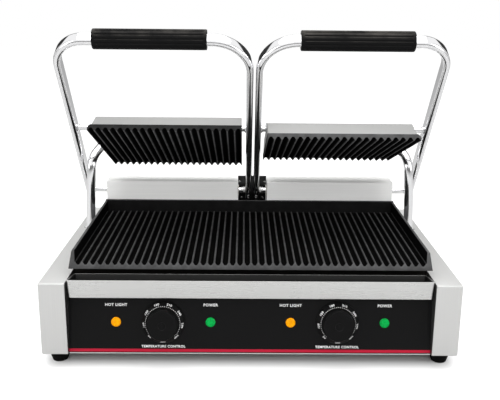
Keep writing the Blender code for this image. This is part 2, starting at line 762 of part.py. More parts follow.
def lower_plate():
    """The cast plate: grooves from front to back, a wall on each side and behind."""
    foot = PLATE_BOTTOM_WIDTH / 2
    wall = foot - PLATE_WALL_DRAFT
    inside = wall - WALL_THICKNESS
    floor = PLATE_UNDERSIDE + PLATE_BASE
    outline = [
        (-foot, PLATE_UNDERSIDE),
        (-wall, WALL_TOP),
        (-inside, WALL_TOP),
        *ribs(-inside, inside, LOWER_GROOVES, RIB_TOP, floor),
        (inside, WALL_TOP),
        (wall, WALL_TOP),
        (foot, PLATE_UNDERSIDE),
    ]
    piece = as_mesh(outline_curve("lower_plate", [outline], PLATE_LENGTH))
    front = PLATE_LENGTH / 2
    for vert in piece.data.vertices:  # the front face leans back as it rises
        if vert.co.z > 0:
            lean = (vert.co.y - PLATE_UNDERSIDE) / (WALL_TOP - PLATE_UNDERSIDE)
            vert.co.z = front - PLATE_FRONT_DRAFT * lean
    middle = PLATE_FRONT_BACK + PLATE_LENGTH / 2
    put(piece, CAST_IRON, place=(0, middle, 0), turn=FACING_FRONT)
    rear = PLATE_FRONT_BACK + PLATE_LENGTH
    low = (-wall, rear - REAR_WALL_THICKNESS, PLATE_UNDERSIDE + PLATE_BASE / 2)
    high = (wall, rear + SEAT_GAP, REAR_WALL_TOP)
    join = mesh_piece("rear_wall", box_cage(low, high))
    cut(piece, join)
    piece.modifiers[-1].operation = "UNION"
    low = (-inside, rear - REAR_WALL_THICKNESS - CHANNEL_LENGTH, floor)
    high = (inside, rear - REAR_WALL_THICKNESS, REAR_WALL_TOP)
    cut(piece, mesh_piece("rear_channel", box_cage(low, high)))


def serpentine(span, step, runs):
    """Corners of a path that runs to and fro, about its own middle."""
    corners = []
    for i in range(runs):
        y = (i - (runs - 1) / 2) * step
        ends = (-span / 2, span / 2) if i % 2 == 0 else (span / 2, -span / 2)
        corners += [Vector((x, y, 0)) for x in ends]
    return corners


def element(name, span, step, parent, place):
    """A sheathed heating element bent to and fro under or over a plate."""
    corners = serpentine(span, step, ELEMENT_RUNS)
    bend = step / 2 * 0.96
    path = rounded_path(corners, [bend] * (len(corners) - 2), 4)
    put(tube(name, path, ELEMENT_RADIUS, 1), HEATER_STEEL, parent, place)


def lower_heater(name, side):
    """An element under the lower plate and the sheet that clamps it there."""
    height = PLATE_UNDERSIDE - SEAT_GAP - ELEMENT_RADIUS
    place = Vector((side * HEATER_PLACE, window_middle(), height))
    element(
        name + "_lower_element", LOWER_ELEMENT_SPAN, LOWER_ELEMENT_STEP, BODY, place
    )
    half = Vector(
        (
            LOWER_ELEMENT_SPAN / 2 + CLAMP_MARGIN,
            LOWER_ELEMENT_STEP * (ELEMENT_RUNS - 1) / 2 + CLAMP_MARGIN,
            CLAMP_SHEET / 2,
        )
    )
    middle = place - Vector((0, 0, ELEMENT_RADIUS + SEAT_GAP + CLAMP_SHEET / 2))
    block(name + "_element_clamp", middle - half, middle + half, ZINC)


def terminal_block():
    """The ceramic block where the supply meets the elements' wires."""
    back = BODY_LENGTH - TERMINAL_SETBACK
    foot = FOOT_HEIGHT + SHEET + SEAT_GAP
    low = (TERMINAL_PLACE - TERMINAL_WIDTH / 2, back - TERMINAL_DEPTH / 2, foot)
    high = (TERMINAL_PLACE + TERMINAL_WIDTH / 2, back + TERMINAL_DEPTH / 2, foot + TERMINAL_HEIGHT)
    block("terminal_block", low, high, CERAMIC, edge=FOLD_RADIUS / 2)


def cable_gland():
    """The gland of the supply cord in the rear wall, open through its middle."""
    nut = SEAT_GAP + GLAND_NUT
    profile = [
        (GLAND_BORE_RADIUS, nut + GLAND_DOME),
        (GLAND_BODY_RADIUS, nut + GLAND_DOME),
        (GLAND_NUT_RADIUS, nut),
        (GLAND_NUT_RADIUS, SEAT_GAP),
        (GLAND_BODY_RADIUS, SEAT_GAP),
        (GLAND_BODY_RADIUS, -GLAND_INSIDE),
        (GLAND_BORE_RADIUS, -GLAND_INSIDE),
    ]
    put(
        turned("cable_gland", profile, 20),
        BLACK_PLASTIC,
        place=(TERMINAL_PLACE, BODY_LENGTH, GLAND_HEIGHT),
        turn=ALONG_Y,
    )


def box_inner(side):
    """Where a spring box ends beside the bracket."""
    return HINGE_OFFSET + side * BRACKET_WIDTH / 2


def spring_box(name, side):
    """The stainless housing of a lid's torsion spring, open below."""
    ends = sorted((box_inner(side), side * BOX_OUTER))
    low = (ends[0], BOX_FRONT, PLATE_UNDERSIDE)
    high = (ends[1], BOX_FRONT + BOX_DEPTH, BOX_TOP)

    def build(shape):
        box_cage(low, high)(shape)
        folds = [
            edge
            for edge in shape.edges
            if all(vert.co.z > BOX_TOP - SEAT_GAP for vert in edge.verts)
            and abs(edge.verts[0].co.y - edge.verts[1].co.y) < SEAT_GAP
        ]
        bmesh.ops.bevel(
            shape, geom=folds, offset=FOLD_RADIUS, segments=2, profile=0.5, affect="EDGES"
        )

    piece = mesh_piece(name + "_spring_box", build)
    drop_faces(piece, lambda face: face.normal.z < -0.9)
    put(piece, STAINLESS)
    solidify(piece, SHEET)
    length = ends[1] - ends[0] + 2 * OVERRUN
    hole = mesh_piece(
        name + "_bush_holes", cylinder_cage(BUSH_RADIUS + SEAT_GAP, length, 20)
    )
    cut(piece, hole, place=(sum(ends) / 2, HINGE_BACK, HINGE_HEIGHT), turn=ALONG_X)


def bush(name, end, outwards):
    """A flanged bush in the end wall of a spring box; outwards is the way out of the box."""
    bore = SHAFT_RADIUS + SEAT_GAP
    profile = [
        (bore, SEAT_GAP + BUSH_FLANGE),
        (BUSH_FLANGE_RADIUS, SEAT_GAP + BUSH_FLANGE),
        (BUSH_FLANGE_RADIUS, SEAT_GAP),
        (BUSH_RADIUS, SEAT_GAP),
        (BUSH_RADIUS, -BUSH_LENGTH),
        (bore, -BUSH_LENGTH),
    ]
    turn = Matrix.Rotation(math.radians(90) * outwards, 4, "Y")
    put(turned(name, profile, 20), NYLON, place=(end, HINGE_BACK, HINGE_HEIGHT), turn=turn)


def torsion_spring(name, side):
    """The coil that balances a lid, round its shaft inside the box."""
    per_turn = 8
    length = SPRING_TURNS * SPRING_PITCH
    points = []
    for i in range(SPRING_TURNS * per_turn + 1):
        angle = 2 * math.pi * i / per_turn
        points.append(
            Vector(
                (
                    SPRING_PITCH * i / per_turn - length / 2,
                    SPRING_RADIUS * math.cos(angle),
                    SPRING_RADIUS * math.sin(angle),
                )
            )
        )
    place = ((box_inner(side) + side * BOX_OUTER) / 2, HINGE_BACK, HINGE_HEIGHT)
    put(tube(name, points, SPRING_WIRE / 2, 1), ZINC, BODY, place)
    least = min(
        (a - b).length
        for i, a in enumerate(points)
        for b in points[i + per_turn // 2 : i + 2 * per_turn]
    )
    print(f"{name}: least gap between turns {1000 * (least - SPRING_WIRE):.2f} mm")


def centre_bracket():
    """The black angle between the spring boxes, which both lids' inner legs swing in."""
    foot = PLATE_UNDERSIDE
    rear = BOX_FRONT + BOX_DEPTH
    outline = [
        (BOX_FRONT, foot),
        (rear, foot),
        (rear, BOX_TOP),
        (rear - BRACKET_SHEET, BOX_TOP),
        (rear - BRACKET_SHEET, foot + BRACKET_SHEET),
        (BOX_FRONT, foot + BRACKET_SHEET),
    ]
    piece = outline_curve("centre_bracket", [outline], BRACKET_WIDTH - 2 * SEAT_GAP)
    put(piece, BLACK_STEEL, place=(HINGE_OFFSET, 0, 0), turn=FACING_SIDE)


def stadium(width, height, steps):
    """An oval with straight sides along y and round ends."""
    radius = width / 2
    straight = height / 2 - radius
    points = []
    for end in (1, -1):
        for i in range(steps + 1):
            angle = math.pi * i / steps + (0 if end == 1 else math.pi)
            points.append((radius * math.cos(angle), end * straight + radius * math.sin(angle)))
    return points


def inner_leg(side):
    """Middle of a frame's inner leg from the middle of the body."""
    return HINGE_OFFSET + side * LEG_OFFSET


def outer_leg(reach):
    """Middle of an outer leg from the middle of the body, at a distance from the hinge."""
    return OUTER_LEG_FOOT + (OUTER_LEG - OUTER_LEG_FOOT) * reach / FRAME_LENGTH


def frame_tube(name, side, lid, section):
    """A lid's frame: one oval tube from the inner leg round the grip to the outer leg."""
    inner = inner_leg(side)
    corners = [
        Vector((inner, LEG_END, 0)),
        Vector((inner, -FRAME_LENGTH, 0)),
        Vector((side * OUTER_LEG, -FRAME_LENGTH, 0)),
        Vector((side * outer_leg(-LEG_END), LEG_END, 0)),
    ]
    path = rounded_path(corners, [INNER_BEND, OUTER_BEND], 8)
    curve = bpy.data.curves.new(name, "CURVE")
    curve.dimensions = "3D"
    curve.twist_mode = "Z_UP"
    curve.bevel_mode = "OBJECT"
    curve.bevel_object = section
    curve.use_fill_caps = True
    spline = curve.splines.new("POLY")
    spline.points.add(len(path) - 1)
    for slot, point in zip(spline.points, path):
        slot.co = (*point, 1)
    put(as_mesh(bpy.data.objects.new(name, curve)), CHROME, lid, smooth=True)


def tube_section():
    """The oval that the frames' tubes are drawn with."""
    curve = bpy.data.curves.new("tube_section", "CURVE")
    curve.dimensions = "2D"
    spline = curve.splines.new("POLY")
    points = stadium(TUBE_THICKNESS, TUBE_DEPTH, 5)
    spline.points.add(len(points) - 1)
    for slot, (x, y) in zip(spline.points, points):
        slot.co = (x, y, 0, 1)
    spline.use_cyclic_u = True
    section = bpy.data.objects.new("tube_section", curve)
    CUTTERS.objects.link(section)
    section.hide_render = True
    return section


def grip(name, side, lid):
    """The fluted sleeve on a frame's front run."""
    outline = []
    for i in range(GRIP_FLUTES):
        for share, depth in ((0.0, 0), (0.55, 0), (0.70, FLUTE_DEPTH), (0.85, FLUTE_DEPTH)):
            angle = 2 * math.pi * (i + share) / GRIP_FLUTES
            radius = GRIP_RADIUS - depth
            outline.append((radius * math.cos(angle), radius * math.sin(angle)))
    bore = stadium(TUBE_THICKNESS + 2 * SEAT_GAP, TUBE_DEPTH + 2 * SEAT_GAP, 6)
    piece = outline_curve(name, [outline, bore], GRIP_LENGTH)
    place = (side * GRIP_PLACE + HINGE_OFFSET / 2, -FRAME_LENGTH, 0)
    put(piece, BLACK_PLASTIC, lid, place, FACING_SIDE)


def across(side, reach):
    """Ends of a bar between a frame's two legs, from the left, at a distance from the hinge."""
    face = TUBE_THICKNESS / 2 + SEAT_GAP
    return sorted((inner_leg(side) + side * face, side * (outer_leg(reach) - face)))


def hinge_shaft(name, side, lid):
    """The round bar that a lid turns on."""
    left, right = across(side, 0)
    piece = mesh_piece(name, cylinder_cage(SHAFT_RADIUS, right - left, 20))
    put(piece, CHROME, lid, ((left + right) / 2, 0, 0), ALONG_X, smooth=True)


def pivot_rod(name, side, lid):
    """The rod that an upper plate hangs from, with a collar at each leg."""
    left, right = across(side, PIVOT_RADIUS)
    half = (right - left) / 2
    profile = [
        (0, half),
        (ROD_COLLAR_RADIUS, half),
        (ROD_COLLAR_RADIUS, half - ROD_COLLAR),
        (ROD_RADIUS, half - ROD_COLLAR),
        (ROD_RADIUS, ROD_COLLAR - half),
        (ROD_COLLAR_RADIUS, ROD_COLLAR - half),
        (ROD_COLLAR_RADIUS, -half),
        (0, -half),
    ]
    place = ((left + right) / 2, -PIVOT_RADIUS, 0)
    put(turned(name, profile, 20), CHROME, lid, place, ALONG_X)


def upper_middle(side):
    """Middle of an upper plate from the middle of the body."""
    return HINGE_OFFSET + side * (UPPER_SPACING + UPPER_WIDTH / 2)


def hood_middle(side):
    """Middle of a hood from the middle of the body."""
    return upper_middle(side) - side * (HOOD_OUTER_INSET - HOOD_INNER_INSET) / 2


def upper_plate(name, side, hang):
    """A lid's cast plate, grooved below from front to back and chamfered along its outer edge."""
    edge = UPPER_WIDTH / 2
    low = -ROD_OVER_RIBS
    outline = [
        (edge, low + RIB_HEIGHT),
        (edge, low + CAST_HEIGHT - CAST_EDGE),
        (edge - CAST_CHAMFER, low + CAST_HEIGHT),
        (-edge, low + CAST_HEIGHT),
        (-edge, low + RIB_HEIGHT),
        *ribs(-edge, edge, UPPER_GROOVES, low, low + RIB_HEIGHT),
    ]
    piece = outline_curve(name, [[(side * x, y) for x, y in outline]], UPPER_LENGTH)
    put(piece, CAST_IRON, hang, (upper_middle(side), 0, 0), FACING_FRONT)


def hood(name, side, hang):
    """The stainless hood over an upper plate, sloped in front and behind, open below."""
    foot = -ROD_OVER_RIBS + CAST_HEIGHT + SEAT_GAP
    reach = UPPER_LENGTH / 2 - HOOD_INSET
    outline = [
        (-reach, foot),
        (reach, foot),
        (reach, foot + HOOD_LIP),
        (reach - HOOD_SLOPE, foot + HOOD_RISE),
        (HOOD_SLOPE - reach, foot + HOOD_RISE),
        (-reach, foot + HOOD_LIP),
    ]
    piece = as_mesh(outline_curve(name, [outline], HOOD_WIDTH))
    drop_faces(piece, lambda face: face.normal.y < -0.9)
    put(piece, STAINLESS, hang, (hood_middle(side), 0, 0), FACING_SIDE)
    solidify(piece, HOOD_SHEET)


def hanger(name, side, hang):
    """The strap on a hood, with an ear at each end that turns on the rod."""
    half = HOOD_WIDTH / 2 - HANGER_INSET
    foot = -ROD_OVER_RIBS + CAST_HEIGHT + 2 * SEAT_GAP + HOOD_RISE
    inside = half - HANGER_EAR
    outline = [
        (-half, foot),
        (half, foot),
        (half, HANGER_EAR_TOP),
        (inside, HANGER_EAR_TOP),
        (inside, foot + HANGER_SHEET),
        (-inside, foot + HANGER_SHEET),
        (-inside, HANGER_EAR_TOP),
        (-half, HANGER_EAR_TOP),
    ]
    piece = as_mesh(outline_curve(name, [outline], HANGER_DEPTH))
    put(piece, ZINC, hang, (hood_middle(side), 0, 0), FACING_FRONT)
    hole = mesh_piece(
        name + "_holes", cylinder_cage(ROD_RADIUS + SEAT_GAP, HOOD_WIDTH + OVERRUN, 20)
    )
    cut(piece, hole, hang, (hood_middle(side), 0, 0), ALONG_X)


def upper_heater(name, side, hang):
    """The element that lies on an upper plate, under its hood."""
    height = -ROD_OVER_RIBS + CAST_HEIGHT + SEAT_GAP + ELEMENT_RADIUS
    place = (upper_middle(side), 0, height)
    element(name, UPPER_ELEMENT_SPAN, UPPER_ELEMENT_STEP, hang, place)


def route_points(route, side):
    """A route's places as vectors on one side of the body."""
    half = BODY_WIDTH / 2
    return [Vector((side * (half - inset), back, height)) for inset, back, height in route]


def conduit(name, side):
    """The bright tube that carries an upper heater's wires, open at its mouth."""
    points = route_points(CONDUIT_ROUTE, side)
    foot = points[0].copy()
    foot.z = CHEEK_TOP + SEAT_GAP
    path = [foot, *smooth_route(points, 3)]
    piece = as_mesh(tube(name + "_conduit", path, CONDUIT_RADIUS, 4, caps=False))
    put(piece, CHROME, smooth=True)
    solidify(piece, CONDUIT_WALL)
    bore = CONDUIT_RADIUS + SEAT_GAP
    profile = [
        (bore, FLANGE_HEIGHT),
        (FLANGE_RADIUS - FOLD_RADIUS / 2, FLANGE_HEIGHT),
        (FLANGE_RADIUS, FLANGE_HEIGHT - FOLD_RADIUS / 2),
        (FLANGE_RADIUS, 0),
        (bore, 0),
    ]
    put(turned(name + "_conduit_flange", profile, 20), CHROME, place=foot)


def heater_lead(name, side, lid, turn):
    """The flexible lead that leaves the conduit's mouth and ends at the lid's rod."""
    mouth = route_points(CONDUIT_ROUTE, side)[-1] - Vector((side * SEAT_GAP, 0, 0))
    way = route_points(LEAD_ROUTE, side)
    rod = Vector(
        (
            way[-1].x,
            HINGE_BACK - PIVOT_RADIUS * math.cos(LID_OPEN) + ROD_RADIUS + SEAT_GAP,
            HINGE_HEIGHT + PIVOT_RADIUS * math.sin(LID_OPEN),
        )
    )
    into_lid = (
        Matrix.Translation((0, HINGE_BACK, HINGE_HEIGHT)) @ Matrix.Rotation(turn, 4, "X")
    ).inverted()
    path = [into_lid @ point for point in smooth_route([mouth, *way, rod], 3)]
    put(tube(name, path, LEAD_RADIUS, 2), SILICONE, lid)


def body():
    """Everything that stays still."""
    for name, side in SIDES.items():
        cheek(name + "_cheek", side)
        foot(name + "_front_foot", side, FOOT_INSET)
        foot(name + "_rear_foot", side, BODY_LENGTH - FOOT_INSET)
        lower_heater(name, side)
        spring_box(name, side)
        bush(name + "_inner_bush", box_inner(side), -side)
        bush(name + "_outer_bush", side * BOX_OUTER, side)
        torsion_spring(name + "_torsion_spring", side)
        conduit(name, side)
        thermostat(name + "_thermostat", side * DIAL_PLACE)
    chassis()
    tray_shelf()
    bottom_cover()
    control_panel()
    lower_plate()
    terminal_block()
    cable_gland()
    centre_bracket()
    lamp("left_heat_lamp", -LAMP_PLACES["outer"], AMBER)
    lamp("left_power_lamp", -LAMP_PLACES["inner"], GREEN)
    lamp("right_heat_lamp", LAMP_PLACES["inner"], AMBER)
    lamp("right_power_lamp", LAMP_PLACES["outer"], GREEN)


def lids():
    """Both lids: a frame that turns on the hinge and a plate that hangs from its rod."""
    section = tube_section()
    for name, side in SIDES.items():
        lid = frame(name + "_lid_frame", BODY, (0, HINGE_BACK, HINGE_HEIGHT), -LID_OPEN)
        hang = frame(
            name + "_plate_frame", lid, (0, -PIVOT_RADIUS, 0), LID_OPEN - TILTS[name]
        )
        frame_tube(name + "_frame_tube", side, lid, section)
        grip(name + "_grip", side, lid)
        hinge_shaft(name + "_hinge_shaft", side, lid)
        pivot_rod(name + "_pivot_rod", side, lid)
        heater_lead(name + "_heater_lead", side, lid, -LID_OPEN)
        upper_plate(name + "_upper_plate", side, hang)
        hood(name + "_hood", side, hang)
        hanger(name + "_hanger", side, hang)
        upper_heater(name + "_upper_element", side, hang)


def report_joints():
    """Prints where the joints are and how far they turn."""
    bpy.context.view_layer.update()
    for name in SIDES:
        lid = bpy.data.objects[name + "_lid_frame"].matrix_world.translation
        rod = bpy.data.objects[name + "_plate_frame"].matrix_world.translation
        ratio = (TILTS[name] - CLOSING) / CLOSING
        print(f"{name}: hinge {tuple(round(v, 5) for v in lid)}, rod {tuple(round(v, 5) for v in rod)}")
        print(f"{name}: closes {CLOSING:.5f} rad, plate follows {ratio:.5f}")
        dial_place = bpy.data.objects[name + "_dial"].matrix_world.translation
        print(f"{name}: dial {tuple(round(v, 5) for v in dial_place)}")
    print(f"dial axis 0, {math.cos(PANEL_TILT):.5f}, {-math.sin(PANEL_TILT):.5f}")
    print(f"body frame back {-ORIGIN_BACK:.5f}, front {FRONT_MOST:.5f}, rear {REAR_MOST:.5f}")


body()
for SIDE_NAME, SIDE in SIDES.items():
    dial(SIDE_NAME + "_dial", SIDE * DIAL_PLACE)
grease_tray()
lids()
report_joints()
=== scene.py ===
# %% [markdown]
# # A double contact grill, dressed for its picture
# The grill is a stainless body with one ribbed cast plate, and two lids that press a second
# ribbed plate down on the food. The engineering model gives every piece its place. Here each
# piece that shows gets its finished surface, worked out with numpy, and its own material.

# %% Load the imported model
import json
import math

import bpy
import numpy as np
from mathutils import Matrix, Vector


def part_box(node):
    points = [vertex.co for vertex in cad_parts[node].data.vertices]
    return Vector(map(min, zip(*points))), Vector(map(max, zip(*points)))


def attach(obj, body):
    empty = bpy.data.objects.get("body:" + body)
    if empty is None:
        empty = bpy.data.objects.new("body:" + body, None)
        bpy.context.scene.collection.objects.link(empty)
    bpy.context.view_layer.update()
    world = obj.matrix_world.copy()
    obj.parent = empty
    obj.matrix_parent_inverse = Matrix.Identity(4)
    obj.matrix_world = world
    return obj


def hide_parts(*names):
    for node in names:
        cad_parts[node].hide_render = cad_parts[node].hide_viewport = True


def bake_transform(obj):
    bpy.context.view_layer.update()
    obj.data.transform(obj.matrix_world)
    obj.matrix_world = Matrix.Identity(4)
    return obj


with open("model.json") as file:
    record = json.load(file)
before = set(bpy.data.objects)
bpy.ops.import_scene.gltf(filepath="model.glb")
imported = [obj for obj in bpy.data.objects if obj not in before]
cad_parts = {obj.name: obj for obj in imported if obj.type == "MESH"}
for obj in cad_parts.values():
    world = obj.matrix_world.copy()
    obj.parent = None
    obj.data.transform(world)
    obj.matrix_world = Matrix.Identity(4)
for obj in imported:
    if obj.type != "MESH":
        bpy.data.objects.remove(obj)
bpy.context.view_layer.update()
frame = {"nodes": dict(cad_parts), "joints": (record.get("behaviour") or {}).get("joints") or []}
NODES = frame["nodes"]
JOINTS = {joint["name"]: joint for joint in frame["joints"]}
SIDES = {"left": -1, "right": 1}
print("loaded", len(NODES), "nodes")


def linked(name, data):
    """A new object in the scene that shows a mesh, a curve, a lens or a lamp."""
    made = bpy.data.objects.new(name, data)
    bpy.context.scene.collection.objects.link(made)
    return made


# %% [markdown]
# ## The camera
# A product picture is taken from a little above, with the camera level across. The lens and the
# place were worked out from the body's straight edges. The shift moves the picture down the
# sensor, as a shift lens does, so that the camera need not tip further.

# %% Camera
PITCH = math.radians(13.61)
YAW = math.radians(0.57)
ROLL = math.radians(-0.55)
EYE = Vector((-0.0114, -1.02672, 0.4948))
SENSOR = 36.0
FRAME_WIDTH = 500
FOCAL_PIXELS = 686
PRINCIPAL_SHIFT = -0.07


def camera_turn():
    """Axes of the camera: forward from pitch and yaw, then right and down turned by the roll."""
    forward = Vector(
        (math.sin(YAW) * math.cos(PITCH), math.cos(YAW) * math.cos(PITCH), -math.sin(PITCH))
    )
    right = Vector((math.cos(YAW), -math.sin(YAW), 0))
    down = forward.cross(right)
    right = math.cos(ROLL) * right + math.sin(ROLL) * down
    down = forward.cross(right)
    return Matrix((right, -down, -forward)).transposed().to_4x4()


lens = bpy.data.cameras.new("picture_camera")
lens.sensor_width = SENSOR
lens.lens = SENSOR * FOCAL_PIXELS / FRAME_WIDTH
lens.shift_y = PRINCIPAL_SHIFT
camera = linked("picture_camera", lens)
camera.matrix_world = Matrix.Translation(EYE) @ camera_turn()
bpy.context.scene.camera = camera
print("lens", round(lens.lens, 2), "mm")

# %% [markdown]
# ## Surfaces from grids
# Nearly everything on the grill is one of three shapes: an outline carried straight along an
# axis, a section carried along a bent path, or a profile turned on a lathe. All of them are one
# ring of points after another, so one function turns any such grid into a mesh. It works out
# the volume that the faces close in, and turns them round if that comes out negative.


# %% Meshes from points
def meshed(name, points, faces, sharp=None, inside_out=False):
    """A piece from points and faces, smooth but for edges sharper than an angle in degrees."""
    mesh = bpy.data.meshes.new(name)
    mesh.from_pydata(np.array(points).tolist(), [], faces)
    if inside_out:
        mesh.flip_normals()
    if sharp:
        mesh.shade_smooth()
        mesh.set_sharp_from_angle(angle=math.radians(sharp))
    return linked(name, mesh)


def grid_quads(rows, columns):
    """The numbers of a grid's points, and its faces."""
    index = np.arange(rows * columns).reshape(rows, columns)
    quads = np.stack([index[:-1, :-1], index[:-1, 1:], index[1:, 1:], index[1:, :-1]], -1)
    return index, quads.reshape(-1, 4).tolist()


def mesh_from_rings(name, rings, looped=False, sharp=40):
    """rings[i, j] is point j of ring i. Each ring is closed on itself. looped joins the last
    ring to the first. Otherwise the first and the last are closed with a flat face."""
    count, around, _ = rings.shape
    i = np.arange(count if looped else count - 1)[:, None]
    j = np.arange(around)[None, :]
    next_i, next_j = (i + 1) % count, (j + 1) % around
    corners = [i * around + j, i * around + next_j, next_i * around + next_j, next_i * around + j]
    quads = np.stack(corners, -1).reshape(-1, 4)
    points = rings.reshape(-1, 3)
    faces = quads.tolist()
    a, b, c, d = (points[quads[:, k]] for k in range(4))
    volume = (np.cross(a, b) * c).sum() + (np.cross(a, c) * d).sum()
    if not looped:
        for ring, order in ((0, -1), (count - 1, 1)):
            cap = (np.arange(around) + ring * around)[::order]
            p = points[cap]
            volume += (np.cross(p[0], p[1:-1]) * p[2:]).sum()
            faces.append(cap.tolist())
    return meshed(name, points, faces, sharp, volume < 0)


def transformed(points, matrix):
    """Points carried by a 4 by 4 matrix: turned by its first three columns, then moved."""
    m = np.array(matrix)
    return points @ m[:3, :3].T + m[:3, 3]


print("a grid of 3 by 3 points has", len(grid_quads(3, 3)[1]), "faces")


# %% Outlines with rounded corners
def rounded(corners, radii, steps=6):
    """A closed outline through flat corners, each replaced by an arc tangent to both sides."""
    corners = np.array(corners, float)
    radii = np.broadcast_to(radii, len(corners))
    share = np.linspace(0, 1, steps + 1)[:, None]
    outline = []
    for before, corner, after, radius in zip(
        np.roll(corners, 1, 0), corners, np.roll(corners, -1, 0), radii
    ):
        u = (before - corner) / np.linalg.norm(before - corner)
        v = (after - corner) / np.linalg.norm(after - corner)
        half = math.acos(np.clip(u @ v, -1, 1)) / 2
        if radius <= 0 or half > math.pi / 2 - 1e-3:
            outline.append(corner[None, :])
            continue
        middle = corner + (u + v) / np.linalg.norm(u + v) * radius / math.sin(half)
        first = corner + u * radius / math.tan(half) - middle
        last = corner + v * radius / math.tan(half) - middle
        sweep = math.pi - 2 * half
        arc = first * np.sin((1 - share) * sweep) + last * np.sin(share * sweep)
        outline.append(middle + arc / math.sin(sweep))
    return np.concatenate(outline)


def inset(outline, depth):
    """An outline moved inwards by a depth, each point along the mean of its sides' normals."""
    after = np.roll(outline, -1, 0)
    ahead = after - outline
    ahead /= np.linalg.norm(ahead, axis=1, keepdims=True)
    normal = np.stack([-ahead[:, 1], ahead[:, 0]], 1)
    mean = normal + np.roll(normal, 1, 0)
    mean /= (mean * normal).sum(1, keepdims=True)
    area = (outline[:, 0] * after[:, 1] - after[:, 0] * outline[:, 1]).sum()
    return outline + mean * depth * np.sign(area)


print("a square with round corners has", len(rounded([(0, 0), (1, 0), (1, 1), (0, 1)], 0.1)), "points")


# %% [markdown]
# A prism is an outline carried straight along one axis. Real folded sheet and real castings have
# no razor edges, so each end gets a quarter circle: the outline shrinks by e(1 - sin t) while it
# travels e(1 - cos t), for t from 0 to a right angle.


# %% Prisms and turned pieces
def prism(name, outline, start, end, edges, plane="yz", steps=3, sharp=40):
    """An outline in the yz or xz plane carried along the third axis, with rounded ends."""
    t = np.linspace(0, math.pi / 2, steps + 1)
    direction = np.sign(end - start)
    rings, places = [], []
    for edge, place, way in ((edges[0], start, direction), (edges[1], end, -direction)):
        turns = t if edge else t[-1:]
        part = [inset(outline, edge * (1 - math.sin(a))) for a in turns]
        spots = [place + way * edge * (1 - math.cos(a)) for a in turns]
        if way != direction:
            part, spots = part[::-1], spots[::-1]
        rings += part
        places += spots
    flat = np.stack(rings)
    along = np.broadcast_to(np.array(places)[:, None], flat.shape[:2])
    first, second = flat[..., 0], flat[..., 1]
    order = [along, first, second] if plane == "yz" else [first, along, second]
    return mesh_from_rings(name, np.stack(order, -1), sharp=sharp)


LATHE_STEPS = 48


def lathe(name, profile, matrix, looped=False):
    """A profile of radius and height turned about z: (r cos a, r sin a, h)."""
    profile = np.array(profile, float)
    radius = np.maximum(profile[:, 0, None], 1e-5)
    angle = np.linspace(0, 2 * math.pi, LATHE_STEPS, endpoint=False)
    height = np.broadcast_to(profile[:, 1, None], (len(profile), LATHE_STEPS))
    rings = np.stack([radius * np.cos(angle), radius * np.sin(angle), height], -1)
    return mesh_from_rings(name, transformed(rings, matrix), looped)


def smooth_profile(corners, radii):
    """An open profile with rounded corners, made from the closed outline through its ends."""
    return rounded(corners, [0, *radii, 0], 5)


print("a lathe turns in", LATHE_STEPS, "steps")


# %% A section carried along a path
def spline(points, steps):
    """Catmull-Rom curve through points: cubic in t between each pair, smooth across them."""
    p = np.array(points, float)
    p = np.vstack([2 * p[0] - p[1], p, 2 * p[-1] - p[-2]])
    t = np.linspace(0, 1, steps, endpoint=False)[None, :, None]
    a, b, c, d = p[:-3, None], p[1:-2, None], p[2:-1, None], p[3:, None]
    bend, twist = 2 * a - 5 * b + 4 * c - d, 3 * b - a - 3 * c + d
    curve = (2 * b + (c - a) * t + bend * t**2 + twist * t**3) / 2
    return np.vstack([curve.reshape(-1, 3), p[-2]])


def swept(path, section, reference):
    """Rings of a flat section along a path. Its first axis is the path crossed with a fixed
    reference, and its second is square to both."""
    ahead = np.gradient(path, axis=0)
    ahead /= np.linalg.norm(ahead, axis=1, keepdims=True)
    side = np.cross(ahead, reference)
    side /= np.linalg.norm(side, axis=1, keepdims=True)
    up = np.cross(side, ahead)
    x, y = section[None, :, 0, None], section[None, :, 1, None]
    return path[:, None] + x * side[:, None] + y * up[:, None]


def circle(radius, steps=32):
    """Points of a circle, radius times cosine and sine."""
    angle = np.linspace(0, 2 * math.pi, steps, endpoint=False)
    return radius * np.stack([np.cos(angle), np.sin(angle)], 1)


print("surface functions ready")

# %% [markdown]
# ## Materials
# Six effects are shared by several finishes, so each is a node group: brushed lines, marks of
# handling, cast grain, moulded grain, worn edges, and the pale tone of faces that look up, which
# is settled dust on the iron and painted highlight on the grips. A group only puts out masks and
# heights. The shader stays in the material, where its plain values are set on its sockets.


# %% Helpers for node trees
def feed(socket, value):
    """Links an input to another node's output, or sets its plain value."""
    if isinstance(value, bpy.types.NodeSocket):
        socket.id_data.links.new(value, socket)
    else:
        socket.default_value = value


def add(tree, kind, inputs=(), **settings):
    """A new node with its settings, and with values or links for its inputs, which are called
    by their name or number."""
    node = tree.nodes.new("ShaderNode" + kind)
    for name, value in settings.items():
        setattr(node, name, value)
    for name, value in dict(inputs).items():
        feed(node.inputs[name], value)
    return node


def math_node(tree, operation, *values):
    """One sum on values or sockets."""
    return add(tree, "Math", dict(enumerate(values)), operation=operation).outputs[0]


def times(tree, first, *others):
    """The product of values or sockets."""
    for other in others:
        first = math_node(tree, "MULTIPLY", first, other)
    return first


def ramp(tree, value, low, high, to_low=0.0, to_high=1.0):
    """Maps a value from one range to another, held at both ends."""
    node = add(tree, "MapRange", {"Value": value, "From Min": low, "From Max": high,
                                  "To Min": to_low, "To Max": to_high})
    return node.outputs["Result"]


def parts_of(tree, vector):
    """The x, y and z of a place or a direction."""
    return add(tree, "SeparateXYZ", {"Vector": vector}).outputs


def noise(tree, place, scale, detail, **more):
    """Smooth noise about a half, with so many swells to a metre."""
    inputs = {"Vector": place, "Scale": scale, "Detail": detail, **more}
    return add(tree, "TexNoise", inputs).outputs["Fac"]


